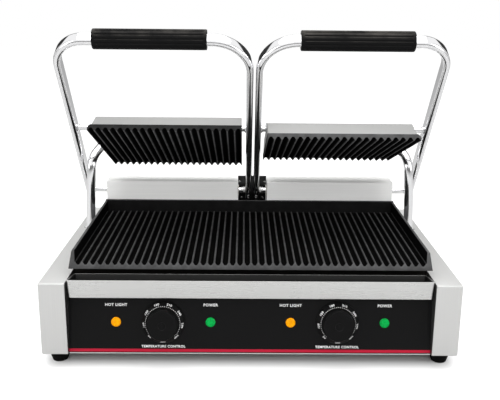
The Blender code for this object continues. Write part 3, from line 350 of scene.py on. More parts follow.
def new_group(name, outputs, **inputs):
    """A shader node group that takes a place, Vector, and named values, and puts out values."""
    tree = bpy.data.node_groups.new(name, "ShaderNodeTree")
    tree.interface.new_socket(name="Vector", in_out="INPUT", socket_type="NodeSocketVector")
    for label, value in inputs.items():
        socket = tree.interface.new_socket(name=label, in_out="INPUT", socket_type="NodeSocketFloat")
        socket.default_value = value
    for label in outputs:
        tree.interface.new_socket(name=label, in_out="OUTPUT", socket_type="NodeSocketFloat")
    return tree, tree.nodes.new("NodeGroupInput").outputs, tree.nodes.new("NodeGroupOutput").inputs


# %% The shared effects
def brushed_group():
    """Long fine scratches: noise on coordinates that the material has stretched."""
    tree, given, made = new_group("brushed lines", ["Lines"])
    feed(made["Lines"], ramp(tree, noise(tree, given["Vector"], 1.0, 4.0), 0.3, 0.7))
    return tree


def handling_group():
    """Faint smears where hands and cloths have been."""
    tree, given, made = new_group("handling marks", ["Smear"], Size=18.0)
    marks = noise(tree, given["Vector"], given["Size"], 5.0, Roughness=0.62, Distortion=0.6)
    feed(made["Smear"], ramp(tree, marks, 0.48, 0.72))
    return tree


def cast_group():
    """The skin that a sand mould leaves: grains, and the shallow pits between them."""
    tree, given, made = new_group("cast grain", ["Height", "Shade"], Size=700.0)
    grains = add(tree, "TexVoronoi", {"Vector": given["Vector"], "Scale": given["Size"]})
    swell = noise(tree, given["Vector"], times(tree, given["Size"], 0.11), 4.0)
    feed(made["Height"], math_node(tree, "MULTIPLY_ADD", grains.outputs["Distance"], 0.5, swell))
    feed(made["Shade"], ramp(tree, swell, 0.35, 0.68))
    return tree


def moulded_group():
    """The even fine texture of a spark-eroded mould."""
    tree, given, made = new_group("moulded grain", ["Height"], Size=1400.0)
    feed(made["Height"], noise(tree, given["Vector"], given["Size"], 2.0))
    return tree


def worn_group():
    """Edges worn brighter: where a rounded normal leaves the true one, broken by noise."""
    tree, given, made = new_group("worn edges", ["Edge"], Radius=0.0008, Amount=1.0)
    bevel = add(tree, "Bevel", {"Radius": given["Radius"]}, samples=6).outputs["Normal"]
    true = add(tree, "NewGeometry").outputs["Normal"]
    dot = add(tree, "VectorMath", {0: bevel, 1: true}, operation="DOT_PRODUCT").outputs["Value"]
    broken = ramp(tree, noise(tree, given["Vector"], 240.0, 3.0), 0.32, 0.6)
    feed(made["Edge"], times(tree, ramp(tree, dot, 0.995, 0.86), broken, given["Amount"]))
    return tree


def dust_group():
    """Dust on faces that look up, thicker in patches. On the grips the same pale tone is a painted
    highlight.
    """
    tree, given, made = new_group("settled dust", ["Dust"], Amount=0.3)
    up = parts_of(tree, add(tree, "NewGeometry").outputs["Normal"])["Z"]
    patch = ramp(tree, noise(tree, given["Vector"], 35.0, 6.0), 0.35, 0.75)
    feed(made["Dust"], times(tree, ramp(tree, up, 0.2, 1.0), patch, given["Amount"]))
    return tree


GROUPS = {
    "brushed": brushed_group(),
    "handling": handling_group(),
    "cast": cast_group(),
    "moulded": moulded_group(),
    "worn": worn_group(),
    "dust": dust_group(),
}
print("effects:", ", ".join(GROUPS))


# %% A material with its helpers
def new_material(name, base, roughness, metallic=0.0, sockets=()):
    """A material whose Principled shader has its plain values set on its own sockets. With it
    come its tree, the shader's inputs and the place on the object."""
    made = bpy.data.materials.new(name)
    made.use_nodes = True
    tree = made.node_tree
    surface = tree.nodes["Principled BSDF"].inputs
    plain = {"Base Color": (*base, 1), "Roughness": roughness, "Metallic": metallic}
    for socket, value in {**plain, **dict(sockets)}.items():
        surface[socket].default_value = value
    return made, tree, surface, add(tree, "TexCoord").outputs["Object"]


def effect(tree, which, **inputs):
    """One of the shared effects, placed in a material with its own values."""
    return add(tree, "Group", inputs, node_tree=GROUPS[which]).outputs


def blend_colours(tree, mask, under, over):
    """One colour over another where a mask is white."""
    under, over = (colour if isinstance(colour, bpy.types.NodeSocket) else (*colour, 1)
                   for colour in (under, over))
    return add(tree, "Mix", {"Factor": mask, 6: under, 7: over}, data_type="RGBA").outputs[2]


def bump(tree, surface, height, distance, strength):
    """Feeds a height to the shader's normal through a Bump node."""
    node = add(tree, "Bump", {"Height": height, "Distance": distance, "Strength": strength})
    feed(surface["Normal"], node.outputs["Normal"])


# %% [markdown]
# ### Brushed stainless
# The sheets are belt-ground, which leaves lines a few tenths of a millimetre apart and a few
# centimetres long. They follow the sheet: along the width on boxes, hoods and the tray, from
# front to back on the cheeks' sides, and upright on the cheeks' fronts. Noise that is stretched
# along the lines draws them, and its coordinates are turned by the face's normal.


# %% Stainless and chrome
ALONG_LINES, ACROSS_LINES = 14, 1500
# The dark colour of painted shade in the tray's bay, under the plate.
PAINTED_BAY_SHADE = (0.030, 0.028, 0.026)


def stretched(tree, place, way):
    """Coordinates for lines that run along one axis of the object."""
    scale = [ALONG_LINES if axis == way else ACROSS_LINES for axis in "XYZ"]
    return add(tree, "Mapping", {"Vector": place, "Scale": scale}).outputs["Vector"]


def stainless(name, along, across, shade=0.66, metallic=0.8, roughness=0.28, specular=0.5):
    """Brushed steel. Its lines run along one axis of the object, and on the faces square to
    that axis, which are found by their normal, along another. The lines scatter some of the
    light as a dull surface would, so the sheet isn't wholly a mirror."""
    base = (shade, shade, shade * 0.985)
    made, tree, surface, place = new_material(
        name, base, roughness, metallic, {"Specular IOR Level": specular}
    )
    normal = parts_of(tree, add(tree, "TexCoord").outputs["Normal"])["XYZ".index(along)]
    square = math_node(tree, "GREATER_THAN", math_node(tree, "ABSOLUTE", normal), 0.7)
    runs = {"Factor": square, 4: stretched(tree, place, along), 5: stretched(tree, place, across)}
    run = add(tree, "Mix", runs, data_type="VECTOR").outputs[1]
    lines = effect(tree, "brushed", Vector=run)["Lines"]
    smear = effect(tree, "handling", Vector=place, Size=9.0)["Smear"]
    shades = blend_colours(tree, lines, [c * 0.975 for c in base], [c * 1.025 for c in base])
    feed(surface["Base Color"], shades)
    rough = math_node(tree, "MULTIPLY_ADD", lines, 0.08, roughness - 0.04)
    feed(surface["Roughness"], math_node(tree, "MULTIPLY_ADD", smear, 0.06, rough))
    bump(tree, surface, lines, 0.00002, 0.08)
    return made


def chassis_material():
    """Plain steel outside. Ahead of the plate's middle, inside the bay of the tray, the sheet is
    painted dark, as painted shade for the shade under the plate, which a ramp over y blends in."""
    made, tree, surface, place = new_material(
        "stainless of the chassis with painted shade", (0.64, 0.64, 0.63), 0.3, 0.85
    )
    # outside is 0 in the bay, where the painted shade goes.
    outside = ramp(tree, parts_of(tree, place)["Y"], -0.08, -0.02)
    lines = effect(tree, "brushed", Vector=stretched(tree, place, "X"))["Lines"]
    shades = blend_colours(tree, lines, (0.60, 0.60, 0.59), (0.68, 0.68, 0.67))
    feed(surface["Base Color"], blend_colours(tree, outside, PAINTED_BAY_SHADE, shades))
    feed(surface["Roughness"], math_node(tree, "MULTIPLY_ADD", lines, 0.08, 0.26))
    bump(tree, surface, lines, 0.00002, 0.3)
    return made


def plated(name, base, roughness, smears=0.05):
    """Bright plating with the faintest smears."""
    made, tree, surface, place = new_material(name, base, roughness, 1.0)
    smear = effect(tree, "handling", Vector=place, Size=30.0)["Smear"]
    feed(surface["Roughness"], math_node(tree, "MULTIPLY_ADD", smear, smears, roughness))
    bump(tree, surface, noise(tree, place, 45.0, 1.0), 0.0002, 0.12)
    return made


STAINLESS_WIDE = stainless("stainless brushed across", "X", "Y")
# A darker, duller copy of the steel, toned down for how brightly the cheeks are lit: painted shade.
CHEEK_STEEL_SHADED = stainless("stainless of the cheeks, painted shade", "Y", "Z", 0.55, 0.25, 0.45)
# A much darker copy of the steel, toned down for how brightly the hoods are lit from above: painted
# shade.
HOOD_STEEL_SHADED = stainless("stainless of the hoods, painted shade", "X", "Y", 0.37, 0.35, 0.45)
# A darker copy of the steel for the cheeks' inner sides: painted shade.
CHEEK_INSIDE_SHADED = stainless("stainless inside the cheeks, painted shade", "Y", "Z", 0.20, 0.9, 0.30)
# A near-white, mostly dull copy of the steel, brightened for the light that brushed steel would catch:
# painted light.
BOX_STEEL_LIT = stainless("stainless of the boxes, painted light", "X", "Y", 0.92, 0.10, 0.5, 0.12)
# A near-black copy of the steel: painted shade inside the tray and on its shelf.
TRAY_INSIDE_SHADED = stainless("stainless in the tray, painted shade", "X", "Y", 0.04, 0.9, 0.34)
CHASSIS_STEEL = chassis_material()
CHROME = plated("polished chrome", (0.88, 0.88, 0.89), 0.03)
SOFT_CHROME = plated("soft chrome of the conduits", (0.90, 0.90, 0.91), 0.11)
BRIGHT = plated("bright plated hardware", (0.66, 0.66, 0.65), 0.20, 0.08)
ZINC = plated("zinc plate", (0.55, 0.56, 0.57), 0.30, 0.12)

# %% [markdown]
# ### Cast iron, paint, plastic and rubber
# The plates are cast iron burnt black with oil, and the grooves stay black. The iron is drawn
# with no shine of its own, so the crests of the ribs, the tops of the walls and the front edges
# are painted grey as painted highlight. Each point of the mesh says how much. Moulded parts have an
# even fine grain, and the grips' tops are paler with painted highlight.


# %% Black finishes
# The pale tone of faces that look up: dust on the iron, painted highlight on the grips.
DUST_AND_SHEEN_SHADE = (0.30, 0.28, 0.25)


def dark_finish(name, base, roughness, grain, size, depth, worn, worn_shade, dust=0.0,
                specular=0.5):
    """A dark finish with its grain, its worn edges and a pale tone on faces that look up, which is a
    painted highlight on the grips.
    """
    made, tree, surface, place = new_material(
        name, base, roughness, sockets={"Specular IOR Level": specular}
    )
    skin = effect(tree, grain, Vector=place, Size=size)["Height"]
    edge = effect(tree, "worn", Vector=place, Radius=0.0009, Amount=worn)["Edge"]
    smear = effect(tree, "handling", Vector=place, Size=24.0)["Smear"]
    colour = blend_colours(tree, edge, base, worn_shade)
    if dust:
        top_tone = effect(tree, "dust", Vector=place, Amount=dust)["Dust"]
        colour = blend_colours(tree, top_tone, colour, DUST_AND_SHEEN_SHADE)
    feed(surface["Base Color"], colour)
    rough = math_node(tree, "MULTIPLY_ADD", smear, 0.10, roughness)
    feed(surface["Roughness"], math_node(tree, "MULTIPLY_ADD", edge, -0.12, rough))
    bump(tree, surface, skin, depth, 0.6)
    return made


def iron_material():
    """Seasoned cast iron with no shine of its own. The mesh carries an attribute, rubbed,
    that is 1 where crests and edges are painted grey as highlight and 0 in the oily grooves."""
    oily, highlight_grey = (0.003, 0.003, 0.003), (0.165, 0.165, 0.167)
    made, tree, surface, place = new_material(
        "seasoned cast iron with painted highlights", oily, 0.40, sockets={"Specular IOR Level": 0.0}
    )
    rubbed = add(tree, "Attribute", attribute_name="rubbed").outputs["Fac"]
    skin = effect(tree, "cast", Vector=place, Size=620.0)
    highlight_share = times(tree, rubbed, math_node(tree, "MULTIPLY_ADD", skin["Shade"], 0.35, 0.65))
    top_tone = effect(tree, "dust", Vector=place, Amount=0.006)["Dust"]
    # Grey where the mesh asks for it: painted highlight on crests, wall tops and edges.
    colour = blend_colours(tree, highlight_share, oily, highlight_grey)
    feed(surface["Base Color"], blend_colours(tree, top_tone, colour, DUST_AND_SHEEN_SHADE))
    feed(surface["Roughness"], math_node(tree, "MULTIPLY_ADD", skin["Shade"], 0.12, 0.34))
    bump(tree, surface, skin["Height"], 0.0002, 0.5)
    return made


IRON = iron_material()
BRACKET_BLACK = dark_finish("black bracket paint", (0.006, 0.006, 0.006), 0.34, "cast", 900.0,
                            0.0001, 0.4, (0.10, 0.10, 0.10))
# On the grips the pale tone of faces that look up is a painted highlight, for the light from above.
GRIP_BLACK = dark_finish("black grip moulding with painted top highlight", (0.0080, 0.0080, 0.0082), 0.30, "moulded", 1500.0,
                         0.00004, 0.35, (0.03, 0.03, 0.03), dust=0.26, specular=0.02)
DIAL_BLACK = dark_finish("black dial moulding", (0.0055, 0.0055, 0.0056), 0.32, "moulded", 1800.0,
                         0.00005, 0.3, (0.04, 0.04, 0.04), specular=0.06)
RUBBER = dark_finish("black rubber", (0.002, 0.002, 0.002), 0.7, "moulded", 700.0, 0.00015,
                     0.4, (0.008, 0.008, 0.008), specular=0.08)
OVERLAY = dark_finish("black panel film", (0.0042, 0.0042, 0.0044), 0.34, "moulded", 2600.0,
                      0.00003, 0.2, (0.03, 0.03, 0.03), specular=0.11)
RED = dark_finish("red stripe film", (0.43, 0.011, 0.034), 0.36, "moulded", 2600.0, 0.00003,
                  0.3, (0.62, 0.04, 0.06), specular=0.12)
SLEEVE = dark_finish("woven heat sleeve", (0.55, 0.53, 0.48), 0.85, "moulded", 900.0, 0.0003,
                     0.3, (0.65, 0.63, 0.58))
print("dark finishes made")


# %% [markdown]
# ### Lenses, print and what sits inside
# A pilot lens is tinted plastic over a glowing filament, so it lights up faintly by itself. The
# heater sheath turns straw and blue where it has been hot.


# %% Lenses, print, nylon, ceramic and heater sheath
def lens_material(name, tint, glow):
    """Tinted plastic with a fine moulded pattern, lit from behind."""
    made, tree, surface, place = new_material(
        name, tint, 0.2, sockets={"Specular IOR Level": 0.1, "Emission Strength": glow}
    )
    pattern = noise(tree, place, 420.0, 2.0)
    deep = [channel * 0.72 for channel in tint]
    colour = blend_colours(tree, ramp(tree, pattern, 0.4, 0.6), tint, deep)
    feed(surface["Base Color"], colour)
    feed(surface["Emission Color"], colour)
    bump(tree, surface, pattern, 0.0001, 0.3)
    return made


def plain_moulding(name, base, roughness, size=900.0):
    """A light moulded or fired piece with grain and smears."""
    made, tree, surface, place = new_material(name, base, roughness)
    smear = effect(tree, "handling", Vector=place, Size=60.0)["Smear"]
    soiled = [channel * 0.8 for channel in base]
    feed(surface["Base Color"], blend_colours(tree, smear, base, soiled))
    bump(tree, surface, effect(tree, "moulded", Vector=place, Size=size)["Height"], 0.0001, 0.4)
    return made


def sheath_material():
    """Steel sheath with straw and blue bands of heat."""
    straw, blue = (0.30, 0.21, 0.12), (0.12, 0.12, 0.19)
    made, tree, surface, place = new_material("heater sheath", (0.2, 0.17, 0.15), 0.45, 1.0)
    swell = noise(tree, place, 26.0, 3.0)
    feed(surface["Base Color"], blend_colours(tree, ramp(tree, swell, 0.4, 0.62), straw, blue))
    bump(tree, surface, swell, 0.0001, 0.2)
    return made


AMBER = lens_material("amber lens", (0.82, 0.31, 0.0005), 0.36)
GREEN = lens_material("green lens", (0.0005, 0.32, 0.055), 0.34)
PRINT = plain_moulding("white print", (0.93, 0.93, 0.93), 0.5)
NYLON = plain_moulding("nylon", (0.78, 0.76, 0.70), 0.5)
CERAMIC = plain_moulding("ceramic", (0.80, 0.78, 0.74), 0.42, 500.0)
SHEATH = sheath_material()

# %% [markdown]
# ## Materials on the engineering model
# Where the model's own surface is already right, such as a flat sheet or a hidden heater, it
# stays and only gets its finish.

# %% Finishes of the kept nodes
KEPT = {
    STAINLESS_WIDE: ["bottom_cover", "front_panel"],
    # The tray's shelf is painted shade, like the inside of the tray.
    TRAY_INSIDE_SHADED: ["tray_shelf"],
    CHASSIS_STEEL: ["chassis"],
    OVERLAY: ["panel_overlay"],
    BRACKET_BLACK: ["centre_bracket"],
    CERAMIC: ["terminal_block"],
    ZINC: ["hanger", "element_clamp", "thermostat", "torsion_spring"],
    NYLON: ["inner_bush", "outer_bush"],
    SHEATH: ["lower_element", "upper_element"],
}
for finish, names in KEPT.items():
    for node_name, node in NODES.items():
        if any(node_name == name or node_name.endswith("_" + name) for name in names):
            node.data.materials.clear()
            node.data.materials.append(finish)
print("kept nodes finished")


def fit(piece, finish, slot_name, body, *stands_for):
    """Gives a new piece its finish, its body and the nodes that it stands for."""
    piece.data.materials.clear()
    piece.data.materials.append(finish)
    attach(piece, body)
    if stands_for:
        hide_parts(*stands_for)
    return piece


# %% [markdown]
# ## Cheeks and feet
# A cheek is a box folded from one sheet. Its outer edges have the radius of the fold, and its
# inner side, against the body, is cut square. That side lies in the dark gap beside the panel,
# so it gets a darker copy of the steel: painted shade. The feet are rubber, turned as one profile
# that narrows to the sole.

# %% Cheeks
FOLD = 0.0022
for name, side in SIDES.items():
    low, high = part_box(f"{name}_cheek")
    inner, outer = (high.x, low.x) if side < 0 else (low.x, high.x)
    corners = [(low.y, low.z), (high.y, low.z), (high.y, high.z), (low.y, high.z)]
    cheek = prism(f"{name}_cheek_skin", rounded(corners, FOLD), inner, outer, (0.0003, FOLD))
    fit(cheek, CHEEK_STEEL_SHADED, "brushed_stainless", "grill_body", f"{name}_cheek")
    # The inner side gets the darker copy: painted shade.
    cheek.data.materials.append(CHEEK_INSIDE_SHADED)
    for face in cheek.data.polygons:
        face.material_index = int(abs(face.center.x - inner) < 0.0002)
print("cheeks", round(1000 * (high.x - low.x)), "mm wide")

# %% Feet
SOLE_RADIUS, TAPER_HEIGHT = 0.0105, 0.0104
for name in ("left_front", "left_rear", "right_front", "right_rear"):
    low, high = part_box(f"{name}_foot")
    middle = (low + high) / 2
    top = (high.x - low.x) / 2
    corners = [(0, high.z), (top, high.z), (top, TAPER_HEIGHT), (SOLE_RADIUS, 0), (0, 0)]
    profile = smooth_profile(corners, (0.0010, 0.0030, 0.0012))
    foot = lathe(f"{name}_foot_rubber", profile, Matrix.Translation((middle.x, middle.y, 0)))
    fit(foot, RUBBER, "black_rubber", "grill_body", f"{name}_foot")
print("feet", round(1000 * high.z), "mm high")

# %% [markdown]
# ## Grease tray
# The tray is a trough of thin sheet. It is drawn as one skin that climbs the outside, folds over
# the rim and goes down the inside: a stack of rounded rectangles. The rim slopes, because the
# back wall is lower than the front. The inside gets a near-black copy of the steel, painted shade
# for the deep trough.

# %% Tray
low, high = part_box("grease_tray")
TRAY_SHEET = 0.0012
TRAY_BACK_RIM = 0.1185
TRAY_DRAFT = 0.0020
TRAY_CORNER = 0.0020
RIM_EDGE = 0.0004


def tray_ring(inwards, draft, height=None, under_rim=0.0):
    """A rounded rectangle inside the tray's box, level at a height, or else just under the
    sloping rim."""
    x = high.x - inwards - draft
    corners = [(-x, low.y + inwards), (x, low.y + inwards), (x, high.y - inwards),
               (-x, high.y - inwards)]
    flat = rounded(corners, max(TRAY_CORNER - inwards, 0.0005), 4)
    share = (flat[:, 1] - low.y) / (high.y - low.y)
    rim = high.z + (TRAY_BACK_RIM - high.z) * share
    z = rim - under_rim if height is None else np.full(len(flat), height)
    return np.column_stack([flat, z])


floor = low.z
stack = [
    tray_ring(0.0012, TRAY_DRAFT, floor),
    tray_ring(0.0004, TRAY_DRAFT, floor + 0.0003),
    tray_ring(0.0, TRAY_DRAFT, floor + 0.0012),
    tray_ring(0.0, 0.0, under_rim=RIM_EDGE),
    tray_ring(0.0003, 0.0),
    tray_ring(TRAY_SHEET - 0.0003, 0.0),
    tray_ring(TRAY_SHEET, 0.0, under_rim=RIM_EDGE),
    tray_ring(TRAY_SHEET, TRAY_DRAFT, floor + 0.0026),
    tray_ring(TRAY_SHEET + 0.0010, TRAY_DRAFT, floor + TRAY_SHEET),
]
INSIDE_FROM = 6
tray = mesh_from_rings("tray_skin", np.stack(stack))
fit(tray, STAINLESS_WIDE, "brushed_stainless", "grease_tray", "grease_tray")
# The inside faces get the near-black copy: painted shade.
tray.data.materials.append(TRAY_INSIDE_SHADED)
around = len(stack[0])
inside = np.zeros(len(tray.data.polygons), dtype=np.int32)
inside[INSIDE_FROM * around:(len(stack) - 1) * around] = 1
inside[-1] = 1
tray.data.polygons.foreach_set("material_index", inside)
print("tray", round(1000 * (high.x - low.x)), "mm wide")

# %% [markdown]
# ## The lower plate
# The plate is a height map: its height is worked out over a grid of places as the highest of the
# ribbed bed, the side walls and the rear wall. A rib's height follows the distance to the middle
# of the nearest groove, eased at both ends, which rounds its crest and the groove's floor. The
# border of the map is then joined to the plate's foot, which is cut back a little.

# %% Lower plate's height map
low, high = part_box("lower_plate")
GROOVES = 48
STEPS_TO_A_RIB = 12
RIB_HEIGHT = 0.0042
RIB_TIP, GROOVE_FLOOR = 0.0013, 0.0024
BED_FLOOR = low.z + 0.0068
WALL_IN, WALL_OUT = 0.2392, 0.2432
WALL_EDGE = np.array([0, 0.0003, 0.0010])
SIDE_TOP = 0.1625
CHANNEL_START = high.y - 0.0117
REAR_WALL_FRONT = high.y - 0.0052
FRONT_EDGE = 0.0010
FRONT_LEAN, LEAN_REACH = 0.0029, 0.03


def eased(value, low, high):
    """0 below low and 1 above high, with 3t^2 - 2t^3 between."""
    t = np.clip((value - low) / (high - low), 0, 1)
    return t * t * (3 - 2 * t)


def rib_share(x, width, grooves):
    """0 on a groove's floor and 1 on a rib's crest. Between them the flank is straight, with a
    third of 3t^2 - 2t^3 mixed in, which rounds its two ends."""
    pitch = width / grooves
    from_groove = np.abs((x + width / 2) / pitch % 1 - 0.5) * pitch
    flank = (pitch - RIB_TIP - GROOVE_FLOOR) / 2
    t = np.clip((from_groove - GROOVE_FLOOR / 2) / flank, 0, 1)
    return t + (eased(t, 0, 1) - t) / 3


edge_x = np.concatenate([WALL_OUT - WALL_EDGE, WALL_IN + WALL_EDGE[::-1]])
edge_z = SIDE_TOP - np.concatenate([WALL_EDGE[::-1], WALL_EDGE])
bed_x = np.linspace(-WALL_IN + 0.00015, WALL_IN - 0.00015, GROOVES * STEPS_TO_A_RIB + 1)
xs = np.concatenate([-edge_x, bed_x, edge_x[::-1]])
side_height = np.concatenate([edge_z, np.zeros(len(bed_x)), edge_z[::-1]])
rear_y = REAR_WALL_FRONT + np.array([-0.0008, -0.0003, 0, 0.0002, 0.0008, 0.0040, 0.0048, 0.0052])
rear_z = [0, BED_FLOOR + 0.0004, BED_FLOOR + 0.0020, high.z - 0.0008, high.z, high.z,
          high.z - 0.0004, high.z - 0.0012]
ys = np.concatenate([
    low.y + np.array([0, 0.0002, 0.0005, FRONT_EDGE, 0.0020, LEAN_REACH]),
    np.linspace(low.y + 0.06, CHANNEL_START - 0.003, 6),
    CHANNEL_START + np.array([-0.0012, -0.0004, 0.0004, 0.0012, 0.0030]),
    rear_y,
])
ribs_left = np.clip((CHANNEL_START + 0.0014 - ys) / 0.0028, 0, 1)
rear_height = np.interp(ys, rear_y, rear_z, left=0)
X, Y = np.meshgrid(xs, ys)
crest = rib_share(X, 2 * WALL_IN, GROOVES)
Z = BED_FLOOR + RIB_HEIGHT * crest * ribs_left[:, None]
Z = np.maximum(Z, side_height[None, :])
Z = np.maximum(Z, rear_height[:, None])
from_front = np.clip(1 - (Y - low.y) / FRONT_EDGE, 0, 1)
Z = Z - FRONT_EDGE * (1 - np.sqrt(1 - from_front**2))
leaning = np.clip(1 - (Y - low.y) / LEAN_REACH, 0, 1)
Y = Y + FRONT_LEAN * (Z - low.z) / (SIDE_TOP - low.z) * leaning
print("lower plate grid", Z.shape)

# %% Where the plate gets painted highlight
# Shares of painted highlight on the crests, the front edge, the side walls and the rear wall. They
# stand in for the shine that the iron is drawn without.
CREST_HIGHLIGHT, FRONT_HIGHLIGHT, WALL_HIGHLIGHT, REAR_HIGHLIGHT = 0.52, 0.60, 0.72, 0.04
WALL_TOP_FRONT = -4
highlight_share = eased(crest, 0.86, 1.0) * ribs_left[:, None] * CREST_HIGHLIGHT
highlight_share = np.where(np.abs(X) < WALL_IN - 0.0005, highlight_share, 0.0)
edge_highlight = [1, 1, 1, 1, 0.3, 0]
on_wall = np.concatenate([edge_highlight, np.zeros(len(bed_x)), edge_highlight[::-1]])
highlight_share = np.where(side_height[None, :] > 0, WALL_HIGHLIGHT * on_wall[None, :], highlight_share)
highlight_share[ys > REAR_WALL_FRONT - 0.0004] = REAR_HIGHLIGHT
highlight_share[WALL_TOP_FRONT] = WALL_HIGHLIGHT
highlight_share[:2] = FRONT_HIGHLIGHT
print("bare on the mean", round(float(highlight_share.mean()), 2))


# %% Close the height map with a skirt
def rub(piece, masks):
    """Writes the share of painted highlight at each point, for the iron's material."""
    rubbed = piece.data.attributes.new("rubbed", "FLOAT", "POINT")
    rubbed.data.foreach_set("value", masks.astype(np.float32))


def with_skirt(name, X, Y, Z, highlight_share, feet):
    """Joins the border of a height map to one outline below it after another, and closes the
    last one flat. Each outline comes with its share of painted highlight."""
    index, faces = grid_quads(*Z.shape)
    border = np.concatenate([index[0], index[1:, -1], index[-1, -2::-1], index[-2:0:-1, 0]])
    points = [np.column_stack([X.ravel(), Y.ravel(), Z.ravel()])]
    masks = [highlight_share.ravel()]
    above, used = border, Z.size
    for foot, mask in feet:
        below = np.arange(len(border)) + used
        points.append(foot(points[0][border]))
        masks.append(np.full(len(border), mask))
        skirt = np.stack([above, below, np.roll(below, -1), np.roll(above, -1)], -1)
        faces += skirt.tolist()
        above, used = below, used + len(border)
    faces.append(above[::-1].tolist())
    piece = meshed(name, np.vstack(points), faces, sharp=50)
    rub(piece, np.concatenate(masks))
    return piece


UNDERCUT_HEIGHT, UNDERCUT_DEPTH = 0.0010, 0.0024


def plate_foot(height, inwards):
    """A maker of the border dropped to a height and spread to the plate's foot, less a margin."""
    def dropped(border):
        foot = border.copy()
        foot[:, 0] *= (high.x - inwards) / WALL_OUT
        foot[:, 1] = np.where(border[:, 1] < low.y + 0.006, low.y + inwards,
                              np.minimum(border[:, 1], high.y - inwards))
        foot[:, 2] = low.z + height
        return foot
    return dropped


plate = with_skirt("lower_plate_casting", X, Y, Z, highlight_share, [
    (plate_foot(UNDERCUT_HEIGHT, 0), FRONT_HIGHLIGHT * 0.95),
    (plate_foot(UNDERCUT_HEIGHT - 0.0002, 0.0001), 0.0),
    (plate_foot(0, UNDERCUT_DEPTH), 0.0),
])
fit(plate, IRON, "seasoned_cast_iron", "grill_body", "lower_plate")
print("lower plate", len(plate.data.polygons), "faces")

# %% [markdown]
# ## Spring boxes
# Each box is a strip folded over into an upside-down U, with a plate let into each end. The
# plates have a hole for the hinge bush, so they are drawn as a loop: round the rectangle on one
# face, across, round the hole on the other face and back.


# %% Spring boxes
def plate_with_hole(name, y0, y1, z0, z1, centre, radius, x0, x1):
    """A flat plate between two x planes with a round hole; both outlines share their angles."""
    corner = np.array([(y0, z0), (y1, z0), (y1, z1), (y0, z1)]) - centre
    angles = np.concatenate([np.linspace(-math.pi, math.pi, 40, endpoint=False),
                             np.arctan2(corner[:, 1], corner[:, 0])])
    angles = np.unique(np.round(angles, 6))
    c, s = np.cos(angles), np.sin(angles)
    reach_y = np.where(c > 0, y1 - centre[0], centre[0] - y0) / np.maximum(np.abs(c), 1e-9)
    reach_z = np.where(s > 0, z1 - centre[1], centre[1] - z0) / np.maximum(np.abs(s), 1e-9)
    reach = np.minimum(reach_y, reach_z)
    outer = np.stack([centre[0] + reach * c, centre[1] + reach * s], 1)
    hole = np.stack([centre[0] + radius * c, centre[1] + radius * s], 1)
    rings = [
        np.column_stack([np.full(len(flat), x), flat])
        for flat, x in ((outer, x0), (outer, x1), (hole, x1), (hole, x0))
    ]
    return mesh_from_rings(name, np.stack(rings), looped=True)


BOX_SHEET = 0.0012
BUSH_HOLE = 0.0070
hinge = {name: np.array(JOINTS[f"{name}_lid_hinge"]["pos_m"]) for name in SIDES}
for name, side in SIDES.items():
    low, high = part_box(f"{name}_spring_box")
    t, fit_in = BOX_SHEET, 1.05 * BOX_SHEET
    corners = [(low.y, low.z), (low.y, high.z), (high.y, high.z), (high.y, low.z),
               (high.y - t, low.z), (high.y - t, high.z - t), (low.y + t, high.z - t),
               (low.y + t, low.z)]
    radii = [0.0002, 0.0024, 0.0024, 0.0002, 0.0002, 0.0012, 0.0012, 0.0002]
    box = prism(f"{name}_box_wrap", rounded(corners, radii, 5), low.x, high.x,
                (0.0002, 0.0002), steps=2)
    fit(box, BOX_STEEL_LIT, "brushed_stainless", "grill_body", f"{name}_spring_box")
    for end, x0, x1 in (("low", low.x, low.x + t), ("high", high.x - t, high.x)):
        plate = plate_with_hole(f"{name}_box_{end}_end", low.y + fit_in, high.y - fit_in, low.z,
                                high.z - fit_in, hinge[name][1:], BUSH_HOLE, x0, x1)
        fit(plate, BOX_STEEL_LIT, "brushed_stainless", "grill_body")
print("spring boxes done")

# %% [markdown]
# ## Lid frames and grips
# A lid's frame is one chromed oval tube, bent in a hairpin. Its path is flat, so the section can
# keep its long axis square to the lid. It is drawn in the lid's own frame of reference, with the
# hinge at its origin and the legs along -y, and then carried to where the lid stands open. The
# upper plates have such a frame too, with the rod that they hang from at its origin.

# %% The lids' frames of reference
LID_OPEN = math.radians(56.0)
PLATE_TILT = {"left": math.radians(25.8), "right": math.radians(20.5)}
HINGE_OFFSET = 0.0040
LID = Matrix.Translation((0, *hinge["left"][1:])) @ Matrix.Rotation(-LID_OPEN, 4, "X")
HANG = {
    name: Matrix.Translation((0, *JOINTS[f"{name}_plate_pivot"]["pos_m"][1:]))
    @ Matrix.Rotation(-PLATE_TILT[name], 4, "X")
    for name in SIDES
}
TUBE = (0.0100, 0.0220)
HALF_TURN_STEPS = 14
BEND_STEPS = 28
LEG_OFFSET = 0.0067
LEG_END = 0.0120
OUTER_LEG = 0.2750
LEG_SPLAY = 0.0018
FRAME_LENGTH = 0.3180
INNER_BEND = 0.0540
OUTER_BEND = 0.0420


def stadium(width, height):
    """A slot shape: two half circles joined by straight sides."""
    radius = width / 2
    angle = np.linspace(0, math.pi, HALF_TURN_STEPS + 1)
    half = np.stack([radius * np.cos(angle), height / 2 - radius + radius * np.sin(angle)], 1)
    return np.vstack([half, -half])


print("the lids stand open by", round(math.degrees(LID_OPEN)), "degrees")


# %% Frame tubes
def hairpin(side):
    """The tube's middle line: up the inner leg, across the front, down the outer leg."""
    inner = HINGE_OFFSET + side * LEG_OFFSET
    outer_end = side * (OUTER_LEG - LEG_SPLAY * (1 + LEG_END / FRAME_LENGTH))
    corners = [(inner, LEG_END), (inner, -FRAME_LENGTH), (side * OUTER_LEG, -FRAME_LENGTH),
               (outer_end, LEG_END)]
    line = rounded(corners, [0, INNER_BEND, OUTER_BEND, 0], BEND_STEPS)
    return np.column_stack([line, np.zeros(len(line))])


